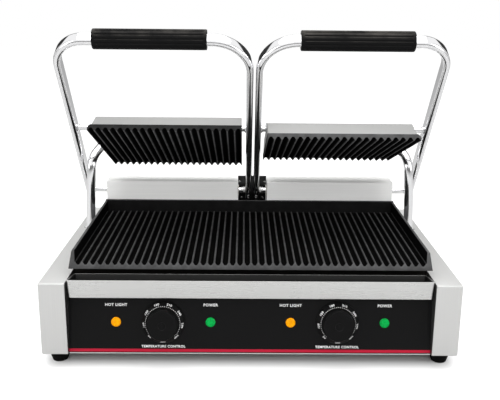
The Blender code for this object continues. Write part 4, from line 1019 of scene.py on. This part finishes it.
for name, side in SIDES.items():
    path = hairpin(side)
    rings = swept(path, stadium(*TUBE), np.array([0, 0, 1.0]))
    tube = mesh_from_rings(f"{name}_frame_bend", transformed(rings, LID), sharp=60)
    fit(tube, CHROME, "chrome", f"{name}_lid", f"{name}_frame_tube")
print("frame tubes", len(path), "steps long")

# %% [markdown]
# The grip is a moulded sleeve with shallow flutes. Its radius is a function of the angle: full on
# the lands, lower in the flutes, with a cosine between them. Near each end the flutes run out
# into a plain collar, and the end itself is rounded.

# %% Grips
GRIP_RADIUS = 0.0142
GRIP_HALF = 0.0785
GRIP_PLACE = 0.1429
FLUTES = 14
FLUTE_DEPTH = 0.0009
angle = np.linspace(0, 2 * math.pi, FLUTES * 16, endpoint=False)
flute = eased(np.cos(FLUTES * angle) * 1.6 - 0.2, 0, 1)
along = np.array([0, 0.0001, 0.0004, 0.0009, 0.0016, 0.0040, 0.0046, 0.0056, 0.0070])
drop = np.array([0.0016, 0.0010, 0.0005, 0.0001, 0.0, 0.0, 0.0, 0.0, 0.0])
fluted = np.array([0, 0, 0, 0, 0, 0.0, 0.45, 0.9, 1.0])
along = np.concatenate([along - GRIP_HALF, GRIP_HALF - along[::-1]])
drop = np.concatenate([drop, drop[::-1]])
fluted = np.concatenate([fluted, fluted[::-1]])
radius = GRIP_RADIUS - drop[:, None] - FLUTE_DEPTH * flute[None, :] * fluted[:, None]
shape = np.stack([
    np.broadcast_to(along[:, None], radius.shape), radius * np.cos(angle), radius * np.sin(angle)
], -1)
for name, side in SIDES.items():
    place = LID @ Matrix.Translation((side * GRIP_PLACE + HINGE_OFFSET / 2, -FRAME_LENGTH, 0))
    grip = mesh_from_rings(f"{name}_grip_sleeve", transformed(shape, place), sharp=70)
    fit(grip, GRIP_BLACK, "black_plastic", f"{name}_lid", f"{name}_grip")
print("grips", round(2000 * GRIP_HALF), "mm long")

# %% [markdown]
# ## Shafts and rods
# Both are bright turned bars, so each is a profile on the lathe. The pivot rod has a collar
# against each leg, which keeps it from sliding sideways.

# %% Shafts and rods
ACROSS = Matrix.Rotation(math.pi / 2, 4, "Y")
SHAFT_RADIUS = 0.0045
ROD_RADIUS = 0.0040
COLLAR = (0.0058, 0.0018)
BAR_EDGE, COLLAR_FOOT = 0.0004, 0.0001


def turned_bar(name, node_name, body, end, radii):
    """A bar across the grill, the same at both ends. An end is given as radii and distances
    from it, and the other one is that mirrored."""
    low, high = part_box(node_name)
    half = (high.x - low.x) / 2
    corners = [(0, half)] + [(radius, half - inwards) for radius, inwards in end]
    corners += [(radius, -height) for radius, height in corners[::-1]]
    place = Matrix.Translation((low + high) / 2) @ ACROSS
    bar = lathe(name, smooth_profile(corners, [*radii, *radii[::-1]]), place)
    fit(bar, CHROME, "chrome", body, node_name)
    print(name, round(2000 * half), "mm long")


for name in SIDES:
    turned_bar(f"{name}_hinge_bar", f"{name}_hinge_shaft", f"{name}_lid",
               [(SHAFT_RADIUS, 0)], [BAR_EDGE])
    r, w = COLLAR
    turned_bar(f"{name}_pivot_bar", f"{name}_pivot_rod", f"{name}_lid",
               [(r, 0), (r, w), (ROD_RADIUS, w)], [BAR_EDGE, BAR_EDGE, COLLAR_FOOT])

# %% [markdown]
# ## Upper plates and hoods
# An upper plate is the lower one turned over: the same ribs, looking down. Its outline across the
# width is carried from front to back as a prism. Only its outer top edge is chamfered, and its
# inner edge is square. The hood over it is a prism the other way: its side view, with a slope in
# front and behind, is carried across the plate.

# %% Upper plates
ROD_OVER_RIBS = 0.0342
CAST_HEIGHT = 0.0094
UPPER_LENGTH = 0.2220
UPPER_GROOVES = 21
UPPER_SPACING = 0.0178
UPPER_WIDTH = 0.2152
half = UPPER_WIDTH / 2
foot = -ROD_OVER_RIBS
across = np.linspace(-half + 0.0006, half - 0.0006, UPPER_GROOVES * STEPS_TO_A_RIB + 1)
crest = rib_share(across, UPPER_WIDTH, UPPER_GROOVES)
under = np.column_stack([across, foot + RIB_HEIGHT * (1 - crest)])
over = rounded(
    [(half, foot + 0.0006), (half, foot + CAST_HEIGHT - 0.0036),
     (half - 0.0040, foot + CAST_HEIGHT), (-half, foot + CAST_HEIGHT), (-half, foot + 0.0006)],
    [0, 0.0020, 0.0020, 0.0006, 0], 4,
)
outline = np.vstack([under, over])
# Painted highlight on the upper plates: on the rib tips, and on the strip and the ends of the casting.
# The strip is painted lighter on the right plate than on the left, for the light that falls there.
STRIP_HIGHLIGHT = {"left": 0.16, "right": 0.58}
tip_highlight = 0.04 * eased(crest, 0.3, 0.6) + 0.80 * eased(crest, 0.85, 1.0)
for name, side in SIDES.items():
    flat = outline * np.array([side, 1])
    flat = flat + np.array([HINGE_OFFSET + side * (UPPER_SPACING + half), 0])
    cast = prism(f"{name}_upper_casting", flat, -UPPER_LENGTH / 2, UPPER_LENGTH / 2,
                 (0.0005, 0.0005), plane="xz", steps=2, sharp=50)
    along_section = np.concatenate([tip_highlight, np.full(len(over), STRIP_HIGHLIGHT[name])])
    rings = np.tile(along_section, (len(cast.data.vertices) // len(outline), 1))
    rings[[0, -1]] = STRIP_HIGHLIGHT[name]
    rub(cast, rings.ravel())
    cast.data.transform(HANG[name])
    fit(cast, IRON, "seasoned_cast_iron", f"{name}_plate", f"{name}_upper_plate")
print("upper plates", len(cast.data.polygons), "faces each")

# %% Hoods
HOOD_INNER, HOOD_OUTER = 0.0006, 0.0044
HOOD_INSET, HOOD_RISE, HOOD_SLOPE, HOOD_LIP = 0.0044, 0.0196, 0.0265, 0.0006
base = foot + CAST_HEIGHT + 0.0003
reach = UPPER_LENGTH / 2 - HOOD_INSET
corners = [(-reach, base), (reach, base), (reach, base + HOOD_LIP),
           (reach - HOOD_SLOPE, base + HOOD_RISE), (HOOD_SLOPE - reach, base + HOOD_RISE),
           (-reach, base + HOOD_LIP)]
side_view = rounded(corners, [0.0001, 0.0001, 0.0004, 0.0024, 0.0024, 0.0004], 5)
for name, side in SIDES.items():
    inner = HINGE_OFFSET + side * (UPPER_SPACING + HOOD_INNER)
    outer = HINGE_OFFSET + side * (UPPER_SPACING + UPPER_WIDTH - HOOD_OUTER)
    hood = prism(f"{name}_hood_pan", side_view, inner, outer, (0.0012, 0.0014))
    hood.data.transform(HANG[name])
    fit(hood, HOOD_STEEL_SHADED, "brushed_stainless", f"{name}_plate", f"{name}_hood")
print("hoods", round(1000 * abs(outer - inner)), "mm wide")

# %% [markdown]
# ## Conduits and their leads
# The heater wires leave each cheek through a bright tube, which bends back and inwards behind the
# lid. The tube's mouth is open, so its skin goes up the outside and back down the bore. From the
# mouth a sleeved lead hangs to the lid's rod.

# %% Conduits
HALF_BODY = 0.285
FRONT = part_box("left_cheek")[0].y + 0.0025
CONDUIT_RADIUS, CONDUIT_BORE = 0.0072, 0.0062
CONDUIT_ROUTE = [
    (0.0240, 0.2220, 0.1243), (0.0240, 0.2220, 0.1480), (0.0257, 0.2220, 0.1780),
    (0.0266, 0.2220, 0.1950), (0.0280, 0.2220, 0.2120), (0.0290, 0.2227, 0.2300),
    (0.0298, 0.2260, 0.2388), (0.0315, 0.2330, 0.2455), (0.0351, 0.2420, 0.2515),
    (0.0400, 0.2520, 0.2560), (0.0426, 0.2605, 0.2620), (0.0442, 0.2670, 0.2690),
    (0.0472, 0.2715, 0.2758), (0.0525, 0.2745, 0.2808), (0.0610, 0.2770, 0.2838),
    (0.0710, 0.2785, 0.2850), (0.0810, 0.2790, 0.2852),
]


def on_side(route, side):
    """A route's insets from the cheek's face, depths and heights as places on one side."""
    route = np.array(route)
    return np.column_stack([side * (HALF_BODY - route[:, 0]), FRONT + route[:, 1], route[:, 2]])


def evened(path, reach):
    """A path whose inner places are averaged over their neighbours, up to a reach that shrinks
    towards both ends, so that the ends stay."""
    places = range(len(path))
    reaches = [min(reach, place, len(path) - 1 - place) for place in places]
    return np.array([path[place - r:place + r + 1].mean(0) for place, r in zip(places, reaches)])


for name, side in SIDES.items():
    path = evened(spline(on_side(CONDUIT_ROUTE, side), 6), 6)
    outside = swept(path, circle(CONDUIT_RADIUS), np.array([0, 1.0, 0]))
    bore = swept(path, circle(CONDUIT_BORE), np.array([0, 1.0, 0]))[::-1]
    skin = mesh_from_rings(f"{name}_conduit_bend", np.concatenate([outside, bore]), looped=True,
                           sharp=60)
    fit(skin, SOFT_CHROME, "chrome", "grill_body", f"{name}_conduit")
    foot_at = Matrix.Translation(path[0])
    corners = [(0.0075, 0.0040), (0.0112, 0.0040), (0.0112, 0.0), (0.0075, 0.0)]
    flange = lathe(f"{name}_conduit_collar", rounded(corners, [0.0003, 0.0014, 0.0002, 0], 5),
                   foot_at, looped=True)
    fit(flange, CHROME, "chrome", "grill_body", f"{name}_conduit_flange")
print("conduits rise", round(1000 * (path[-1][2] - path[0][2])), "mm")

# %% Leads
LEAD_RADIUS = 0.0030
LEAD_ROUTE = [
    (0.0813, 0.2790, 0.2852), (0.0915, 0.2795, 0.2855), (0.1040, 0.2770, 0.2870),
    (0.1120, 0.2690, 0.2895), (0.1155, 0.2540, 0.2925), (0.1160, 0.2360, 0.2950),
    (0.1160, 0.2220, 0.2967), (0.1160, 0.2022, 0.2977),
]
for name, side in SIDES.items():
    path = spline(on_side(LEAD_ROUTE, side), 6)
    length = np.linalg.norm(np.diff(path, axis=0), axis=1).sum()
    rings = swept(path, circle(LEAD_RADIUS, 20), np.array([0, 0, 1.0]))
    lead = mesh_from_rings(f"{name}_lead_sleeve", rings, sharp=60)
    lead.data.materials.append(SLEEVE)
    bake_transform(lead)
    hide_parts(f"{name}_heater_lead")
    print(name, "lead", round(1000 * length), "mm")

# %% [markdown]
# ## The control panel
# The panel leans back. Its frame of reference has x to the right, z up the panel and -y out of
# it, and comes from the dials' axis. The print is real geometry, a few hundredths of a millimetre
# high, because it is read close up.

# %% The panel's frame of reference
axis = JOINTS["left_dial_turn"]["axis"]
PANEL_TILT = math.atan2(-axis[2], axis[1])
CONTROLS = {name: Vector(JOINTS[f"{name}_dial_turn"]["pos_m"]) for name in SIDES}
FILM = 0.0009
PANEL_TURN = Matrix.Rotation(-PANEL_TILT, 4, "X")
OUTWARDS = Matrix.Rotation(math.pi / 2, 4, "X")
LAMP_REACH = 0.0646
PRINT_HEIGHT, LETTER_WEIGHT = 0.00003, 0.00011


def on_panel(x, up=0.0, out=FILM):
    """A place on the panel: x of the object, up from the controls' line, out from the steel."""
    origin = Vector((x, CONTROLS["left"].y, CONTROLS["left"].z))
    return Matrix.Translation(origin) @ PANEL_TURN @ Matrix.Translation((0, -out, up))


def lettering(name, text, size, matrix):
    """Generic words or figures as thin solid print, in the xy plane of a matrix."""
    curve = bpy.data.curves.new(name, "FONT")
    curve.body = text
    curve.size = size
    curve.align_x = "CENTER"
    curve.align_y = "CENTER"
    curve.extrude = PRINT_HEIGHT
    curve.offset = LETTER_WEIGHT
    curve.space_character = 1.12
    curve.resolution_u = 3
    source = linked(name + "_curve", curve)
    bpy.context.view_layer.update()
    mesh = bpy.data.meshes.new_from_object(source)
    bpy.data.objects.remove(source)
    mesh.transform(matrix)
    return linked(name, mesh)


def joined(name, pieces):
    """One piece made of several, which are taken away."""
    points, faces = [], []
    for piece in pieces:
        faces += [[len(points) + corner for corner in face.vertices]
                  for face in piece.data.polygons]
        points += [tuple(vertex.co) for vertex in piece.data.vertices]
        bpy.data.objects.remove(piece)
    return meshed(name, points, faces)


print("the panel leans back by", round(math.degrees(PANEL_TILT), 1), "degrees")

# %% Stripe
low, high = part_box("panel_stripe")
STRIPE = {"red_stripe_film": (RED, "red_stripe", 0.0012, 0.0053),
          "stripe_border_film": (OVERLAY, "black_panel_overlay", 0.0, 0.0011)}
stripe_foot = (low.z - CONTROLS["left"].z) / math.cos(PANEL_TILT)
for name, (finish, slot_name, start, end) in STRIPE.items():
    corners = [(low.x, stripe_foot + start), (high.x, stripe_foot + start),
               (high.x, stripe_foot + end), (low.x, stripe_foot + end)]
    film = prism(name, rounded(corners, 0.0002, 2), -0.0001, -0.0007, (0, 0.0001), plane="xz")
    film.data.transform(on_panel(0.0, out=0.0))
    stands_for = ["panel_stripe"] if finish is RED else []
    fit(film, finish, slot_name, "grill_body", *stands_for)
print("stripe", round(1000 * (high.x - low.x)), "mm long")

# %% Lamps
LAMPS = {
    "left_heat_lamp": (CONTROLS["left"].x - LAMP_REACH, AMBER, "amber_lens", "HOT LIGHT"),
    "left_power_lamp": (CONTROLS["left"].x + LAMP_REACH, GREEN, "green_lens", "POWER"),
    "right_heat_lamp": (CONTROLS["right"].x - LAMP_REACH, AMBER, "amber_lens", "HOT LIGHT"),
    "right_power_lamp": (CONTROLS["right"].x + LAMP_REACH, GREEN, "green_lens", "POWER"),
}
LENS_RADIUS, LENS_BODY, LENS_HEIGHT, LENS_DEPTH = 0.0066, 0.0054, 0.0030, 0.0225
WORD_SIZE, DIAL_WORD_SIZE, WORD_RISE, WORD_DROP = 0.0053, 0.0047, 0.0236, 0.0346
seat = 0.0003
for name, (x, finish, slot_name, word) in LAMPS.items():
    corners = [(0, LENS_HEIGHT + seat), (0.0046, LENS_HEIGHT + seat), (0.0060, 0.0016 + seat),
               (LENS_RADIUS, 0.0012 + seat), (LENS_RADIUS, seat), (LENS_BODY, seat),
               (LENS_BODY, -LENS_DEPTH), (0, -LENS_DEPTH)]
    profile = smooth_profile(corners, (0.0009, 0.0004, 0.0003, 0.0002, 0.0, 0.0006))
    lamp = lathe(f"{name}_lens", profile, on_panel(x) @ OUTWARDS)
    fit(lamp, finish, slot_name, "grill_body", name)
    word_piece = lettering(f"{name}_word", word, WORD_SIZE, on_panel(x, WORD_RISE) @ OUTWARDS)
    fit(word_piece, PRINT, "black_panel_overlay", "grill_body")
for name in SIDES:
    place = on_panel(CONTROLS[name].x, -WORD_DROP) @ OUTWARDS
    word_piece = lettering(f"{name}_dial_word", "TEMPERATURE CONTROL", DIAL_WORD_SIZE, place)
    fit(word_piece, PRINT, "black_panel_overlay", "grill_body")
print("lamps and words done")

# %% [markdown]
# ## Dials
# A dial is a skirt that carries the figures and a cap to hold. The cap is not quite round: a
# blunt nose at its top shows which way the dial is turned. Its outline is a circle plus a bump
# that falls off as exp(-a^4) with the angle a from the nose, and the rings rise from the skirt
# to the rounded face.

# %% Dial shape
SKIRT_RADIUS, SKIRT_RIM, SKIRT_TOP, SKIRT_HEIGHT = 0.0292, 0.0022, 0.0234, 0.0085
CAP_RADIUS, CAP_HEIGHT, CAP_EDGE = 0.0205, 0.0206, 0.0016
NOSE, NOSE_SPREAD = 0.0017, 0.30
INLAY_RADIUS = 0.0052
SPINDLE = (0.0030, 0.0150)
seat = 0.0012
angle = np.linspace(0, 2 * math.pi, 96, endpoint=False)
nose = NOSE * np.exp(-(((angle - math.pi / 2) / NOSE_SPREAD) ** 4))
levels = [
    (SPINDLE[0], 0, -SPINDLE[1]), (SPINDLE[0], 0, seat), (SKIRT_RADIUS - 0.0004, 0, seat),
    (SKIRT_RADIUS, 0, seat + 0.0004), (SKIRT_RADIUS, 0, seat + SKIRT_RIM - 0.0003),
    (SKIRT_RADIUS - 0.0002, 0, seat + SKIRT_RIM), (SKIRT_TOP, 0, seat + SKIRT_HEIGHT - 0.0002),
    (SKIRT_TOP - 0.0004, 0, seat + SKIRT_HEIGHT), (CAP_RADIUS + 0.0004, 1, seat + SKIRT_HEIGHT),
    (CAP_RADIUS + 0.0001, 1, seat + SKIRT_HEIGHT + 0.0004),
]
bend = np.linspace(0, math.pi / 2, 6)
top = FILM + CAP_HEIGHT
levels += [
    (CAP_RADIUS - CAP_EDGE * (1 - math.cos(b)), 1, top - CAP_EDGE * (1 - math.sin(b)))
    for b in bend
]
levels += [(INLAY_RADIUS + 0.0004, 0, top), (INLAY_RADIUS, 0, top - 0.0004),
           (INLAY_RADIUS - 0.0003, 0, top - 0.0002)]
levels = np.array(levels)
radius = levels[:, 0, None] + levels[:, 1, None] * nose[None, :]
shape = np.stack([
    radius * np.cos(angle), radius * np.sin(angle),
    np.broadcast_to(levels[:, 2, None], radius.shape),
], -1)
for name in SIDES:
    place = on_panel(CONTROLS[name].x, out=0.0) @ OUTWARDS
    dial = mesh_from_rings(f"{name}_dial_moulding", transformed(shape, place))
    fit(dial, DIAL_BLACK, "black_plastic", f"{name}_dial", f"{name}_dial")
print("dials", round(2000 * SKIRT_RADIUS, 1), "mm across")

# %% Figures and dots on the skirt
FIGURES = ["90", "120", "150", "180", "210", "240", "270", "300"]
FIGURE_SIZE, OFF_SIZE, FIGURE_SHARE = 0.0045, 0.0036, 0.52
DOTS, DOT_RADIUS, DOT_SHARE = 43, 0.00050, 0.05
SCALE_TURN = math.radians(272)
CONE_RUN, CONE_DROP = SKIRT_RADIUS - SKIRT_TOP, SKIRT_HEIGHT - SKIRT_RIM


def on_cone(x, clockwise, share):
    """A place on the skirt's cone, its y pointing down the cone and its z out of it."""
    run = Vector((math.sin(clockwise), 0, math.cos(clockwise)))
    out = Vector((0, -1, 0))
    down = (run * CONE_RUN - out * CONE_DROP).normalized()
    normal = (run * CONE_DROP + out * CONE_RUN).normalized()
    side = down.cross(normal)
    radius = SKIRT_TOP + CONE_RUN * share
    height = seat + SKIRT_HEIGHT - CONE_DROP * share
    local = Matrix((side, down, normal)).transposed().to_4x4()
    local.translation = run * radius + out * (height + PRINT_HEIGHT)
    return on_panel(x, out=0.0) @ local


def dot_rings(matrix):
    """A flat round dot of print, a few hundredths of a millimetre thick."""
    flat = circle(DOT_RADIUS, 10)
    return np.stack([
        transformed(np.column_stack([flat, np.full(len(flat), h)]), matrix)
        for h in (-PRINT_HEIGHT, PRINT_HEIGHT)
    ])


for name in SIDES:
    x = CONTROLS[name].x
    pieces = []
    for i, figure in enumerate(FIGURES):
        place = on_cone(x, SCALE_TURN * (i / (len(FIGURES) - 1) - 0.5), FIGURE_SHARE)
        pieces.append(lettering(f"{name}_figure_{figure}", figure, FIGURE_SIZE, place))
    place = on_cone(x, math.pi, FIGURE_SHARE)
    pieces.append(lettering(f"{name}_figure_off", "OFF", OFF_SIZE, place))
    for i in range(DOTS):
        place = on_cone(x, SCALE_TURN * (i / (DOTS - 1) - 0.5), DOT_SHARE)
        pieces.append(mesh_from_rings(f"{name}_dot_{i}", dot_rings(place)))
    fit(joined(f"{name}_dial_scale", pieces), PRINT, "black_plastic", f"{name}_dial")
print("each dial has", len(pieces), "marks")

# %% [markdown]
# ## Screws
# Pan-head screws hold the spring boxes, the rear wall, the bottom, the centre bracket and the
# lids' inner legs. The head is a shallow dome over a circle: its height falls as the square of
# the distance from the middle, and a cross is pressed into it where either coordinate is small.


# %% Screw heads, in shares of the head's radius
DOME, DOME_FALL = 0.42, 0.55
CROSS_ARM, CROSS_REACH, CROSS_DEPTH = 0.13, 0.62, 0.22


def screw(name, place, normal, radius, body, finish=ZINC):
    """A domed head with a cross recess, on a polar grid, seated on a face."""
    rings, around = 12, 40
    r = np.linspace(0.02, 1, rings)[:, None] * radius
    a = np.linspace(0, 2 * math.pi, around, endpoint=False)[None, :]
    x, y = r * np.cos(a), r * np.sin(a)
    dome = DOME * radius * (1 - DOME_FALL * (r / radius) ** 2) * np.ones_like(a)
    arm = np.minimum(np.abs(x), np.abs(y)) < CROSS_ARM * radius
    recess = np.where(arm & (np.hypot(x, y) < CROSS_REACH * radius), CROSS_DEPTH * radius, 0)
    head = np.stack([x, y, dome - recess], -1)
    rim = np.stack([x[-1], y[-1], np.zeros(around)], -1)[None]
    turn = Vector(normal).to_track_quat("Z", "Y").to_matrix().to_4x4()
    shape = transformed(np.concatenate([head, rim]), Matrix.Translation(place) @ turn)
    return fit(mesh_from_rings(name, shape, sharp=45), finish, "zinc_steel", body)


# %% Screws on the body
BOX_SCREW, WALL_SCREW, BOTTOM_SCREW = 0.0032, 0.0034, 0.0036
for name in SIDES:
    low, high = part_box(f"{name}_spring_box")
    for i, share in enumerate((0.12, 0.88)):
        screw(f"{name}_box_screw_{i}", (low.x + share * (high.x - low.x), high.y, low.z + 0.012),
              (0, 1, 0), BOX_SCREW, "grill_body")
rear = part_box("chassis")[1].y
for i, x in enumerate((-0.235, -0.08, 0.08, 0.235)):
    for j, z in enumerate((0.034, 0.118)):
        screw(f"rear_wall_screw_{i}_{j}", (x, rear, z), (0, 1, 0), WALL_SCREW, "grill_body")
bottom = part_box("bottom_cover")[0].z
for i, (x, y) in enumerate([(-0.22, -0.13), (0.22, -0.13), (-0.22, 0.14), (0.22, 0.14)]):
    screw(f"bottom_screw_{i}", (x, y, bottom), (0, 0, -1), BOTTOM_SCREW, "grill_body")
print("the bottom's screws are at", round(1000 * bottom), "mm")

# %% Screws, nuts and washers at the middle
LEG_SCREW, BRACKET_SCREW = 0.0029, 0.0019
for name, side in SIDES.items():
    inner = HINGE_OFFSET + side * LEG_OFFSET
    under = LID @ Vector((inner, 0.0046, -TUBE[1] / 2 + 0.0002))
    facing = LID.to_3x3() @ Vector((0, 0, -1))
    screw(f"{name}_leg_screw", under, facing, LEG_SCREW, f"{name}_lid", BRIGHT)
    six = np.linspace(0, 2 * math.pi, 6, endpoint=False) + 0.3
    middle = hinge[name][1:]
    for part, reach, start, length in (("nut", 0.0064, 0.0121, 0.0036),
                                       ("washer", 0.0062, 0.0172, 0.0010)):
        flat = reach * np.stack([np.cos(six), np.sin(six)], 1)
        flat = rounded(middle + flat, 0.0006, 2) if part == "nut" else middle + circle(reach, 28)
        x0, x1 = HINGE_OFFSET + side * start, HINGE_OFFSET + side * (start + length)
        piece = prism(f"{name}_hinge_{part}", flat, min(x0, x1), max(x0, x1), (0.0003, 0.0003))
        fit(piece, BRIGHT, "zinc_steel", f"{name}_lid")
low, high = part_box("centre_bracket")
for i, (x, z) in enumerate([(low.x + 0.0022, 0.185), (high.x - 0.0022, 0.185),
                            (low.x + 0.0060, 0.156), (high.x - 0.0060, 0.156)]):
    place = (x, high.y - 0.0030, z)
    screw(f"bracket_screw_{i}", place, (0, -1, 0), BRACKET_SCREW, "grill_body", BRIGHT)
print("screws done")

# %% [markdown]
# ## Cable gland
# The mains wires enter through a gland in the rear wall. It is hollow, so its profile is a
# closed loop on the lathe: down the outside of the cap and the neck, and back up the bore.

# %% Cable gland
low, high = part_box("cable_gland")
middle = (low + high) / 2
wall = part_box("chassis")[1].y
corners = [(0.0046, 0.0133), (0.0080, 0.0133), (0.0120, 0.0063), (0.0120, 0.0003),
           (0.0080, 0.0003), (0.0080, -0.0120), (0.0046, -0.0120)]
gland = lathe("cable_gland_body", rounded(corners, [0.0008, 0.0018, 0.0012, 0.0004, 0, 0.0004, 0]),
              Matrix.Translation((middle.x, wall, middle.z)) @ Matrix.Rotation(-math.pi / 2, 4, "X"),
              looped=True)
fit(gland, GRIP_BLACK, "black_plastic", "grill_body", "cable_gland")
print("cable gland at", round(1000 * middle.z), "mm")

# %% [markdown]
# ## The studio
# The picture is a packshot: a white floor that runs into a white wall, with soft light from
# above, from both sides and from the front. The floor shows the soft shadow under the grill,
# and a painted shadow round it, where the paper is left darker. The world is brighter above than
# at the level of the eye. What metal mirrors is another world, white with a few dark cards, which
# draw the dark lines along the chromed tubes.


# %% Floor
PAPER = 0.52
PAINTED_SHADOW_HALF = {"X": 0.262, "Y": 0.147}
FLOOR_REACH = 6.0


def floor_material():
    """White paper. For the camera it is lifted by a faint light of its own, so that it meets
    the white behind it. The lift falls off near the grill, by the distance outside a rectangle
    round its feet, so the paper there stays darker: a painted shadow, over the real shadow."""
    made = bpy.data.materials.new("white floor with painted shadow")
    made.use_nodes = True
    tree = made.node_tree
    tree.nodes.clear()
    paper = add(tree, "BsdfDiffuse", {"Color": (PAPER, PAPER, PAPER, 1)})
    place = parts_of(tree, add(tree, "TexCoord").outputs["Object"])
    squares = []
    for axis, half in PAINTED_SHADOW_HALF.items():
        past = math_node(tree, "SUBTRACT", math_node(tree, "ABSOLUTE", place[axis]), half)
        past = math_node(tree, "MAXIMUM", past, 0.0)
        squares.append(times(tree, past, past))
    away = math_node(tree, "SQRT", math_node(tree, "ADD", *squares))
    # No lift in and next to the rectangle: the darker paper there is painted shadow.
    rise = ramp(tree, away, 0.004, 0.034, 0.0, 0.62)
    seen = add(tree, "LightPath").outputs["Is Camera Ray"]
    lift = add(tree, "Emission", {"Color": (1, 1, 1, 1), "Strength": times(tree, seen, rise)})
    both = add(tree, "AddShader", {0: paper.outputs[0], 1: lift.outputs[0]})
    add(tree, "OutputMaterial", {"Surface": both.outputs[0]})
    return made


spread = np.linspace(-1, 1, 9) ** 3 * FLOOR_REACH
FX, FY = np.meshgrid(spread, spread)
points = np.column_stack([FX.ravel(), FY.ravel(), np.zeros(FX.size)])
floor_piece = meshed("studio_floor", points, grid_quads(*FX.shape)[1])
floor_piece.data.materials.append(floor_material())
print("floor", 2 * FLOOR_REACH, "m wide")


# %% World
SOFT_END = 3


def band(tree, angle, start, end):
    """1 between two angles in degrees and 0 outside them, with soft ends."""
    rises = ramp(tree, angle, math.radians(start), math.radians(start + SOFT_END))
    falls = ramp(tree, angle, math.radians(end - SOFT_END), math.radians(end), 1.0, 0.0)
    return times(tree, rises, falls)


def studio_world():
    """White for the camera. Light comes from all round, most from above and from the front.
    What metal mirrors is white too, but for dark cards: behind the grill, just outside the
    picture and over it, a narrower one at each side, and the dark room behind the camera. They
    draw the dark lines of the chromed tubes, which would be lost against the white."""
    world = bpy.data.worlds.new("studio")
    bpy.context.scene.world = world
    world.use_nodes = True
    tree = world.node_tree
    tree.nodes.clear()
    way = parts_of(tree, add(tree, "TexCoord").outputs["Generated"])
    sideways = math_node(tree, "ABSOLUTE", way["X"])
    turn = math_node(tree, "ARCTAN2", sideways, way["Y"])
    off_axis = math_node(tree, "ARCCOSINE", way["Y"])
    rise = math_node(tree, "ARCSINE", way["Z"])
    beyond = ramp(tree, turn, math.radians(15), math.radians(20))
    within = ramp(tree, turn, math.radians(24), math.radians(18))
    dark = times(tree, band(tree, off_axis, 20, 53), beyond)
    beside = times(tree, band(tree, off_axis, 74, 90), ramp(tree, sideways, 0.6, 0.75), 0.75)
    over = times(tree, band(tree, off_axis, 24, 54), within, 0.7)
    room = times(tree, band(tree, rise, -9, 13), ramp(tree, way["Y"], -0.5, -0.7), 0.85)
    for card in (beside, over, room):
        dark = math_node(tree, "MAXIMUM", dark, card)
    light = times(tree, ramp(tree, way["Z"], -0.1, 0.75, 0.72, 1.0),
                  ramp(tree, way["Y"], -1.0, 1.0, 1.10, 0.86), 0.88)
    studio, mirror, white = (
        add(tree, "Background", {"Color": (1, 1, 1, 1), "Strength": strength}).outputs[0]
        for strength in (light, ramp(tree, dark, 0.0, 1.0, 1.0, 0.04), 1.0)
    )
    ray = add(tree, "LightPath").outputs
    lit = add(tree, "MixShader", {"Fac": ray["Is Glossy Ray"], 1: studio, 2: mirror})
    clear = math_node(tree, "MAXIMUM", ray["Is Camera Ray"], ray["Is Transmission Ray"])
    shown = add(tree, "MixShader", {"Fac": clear, 1: lit.outputs[0], 2: white})
    add(tree, "OutputWorld", {"Surface": shown.outputs[0]})


studio_world()
print("the world is", bpy.context.scene.world.name)


# %% Lamps of the studio
def softbox(name, place, aim, size, power, mirrored=True):
    """A square area light turned towards a point; mirrored says whether metal shows it."""
    data = bpy.data.lights.new(name, "AREA")
    data.shape = "RECTANGLE"
    data.size, data.size_y = size
    data.energy = power
    light = linked(name, data)
    light.visible_glossy = mirrored
    turn = (Vector(aim) - Vector(place)).to_track_quat("-Z", "Y").to_matrix().to_4x4()
    light.matrix_world = Matrix.Translation(place) @ turn


softbox("top_softbox", (0, 0.1, 1.9), (0, 0, 0.1), (1.8, 1.4), power=27)
for name, side in SIDES.items():
    softbox(f"{name}_softbox", (side * 1.7, -0.9, 0.9), (0, 0, 0.2), (0.9, 1.3), power=7)
softbox("front_softbox", (0, -1.5, 1.15), (0, 0.05, 0.2), (1.8, 0.7), power=12, mirrored=False)
print(len(bpy.data.lights), "softboxes")
bpy.context.scene.view_settings.view_transform = "Standard"

# %% [markdown]
# ## The end
# The finish must not change how big the grill is. At the end the scene is brought up to date.

# %% Bring the scene up to date
bpy.context.view_layer.update()
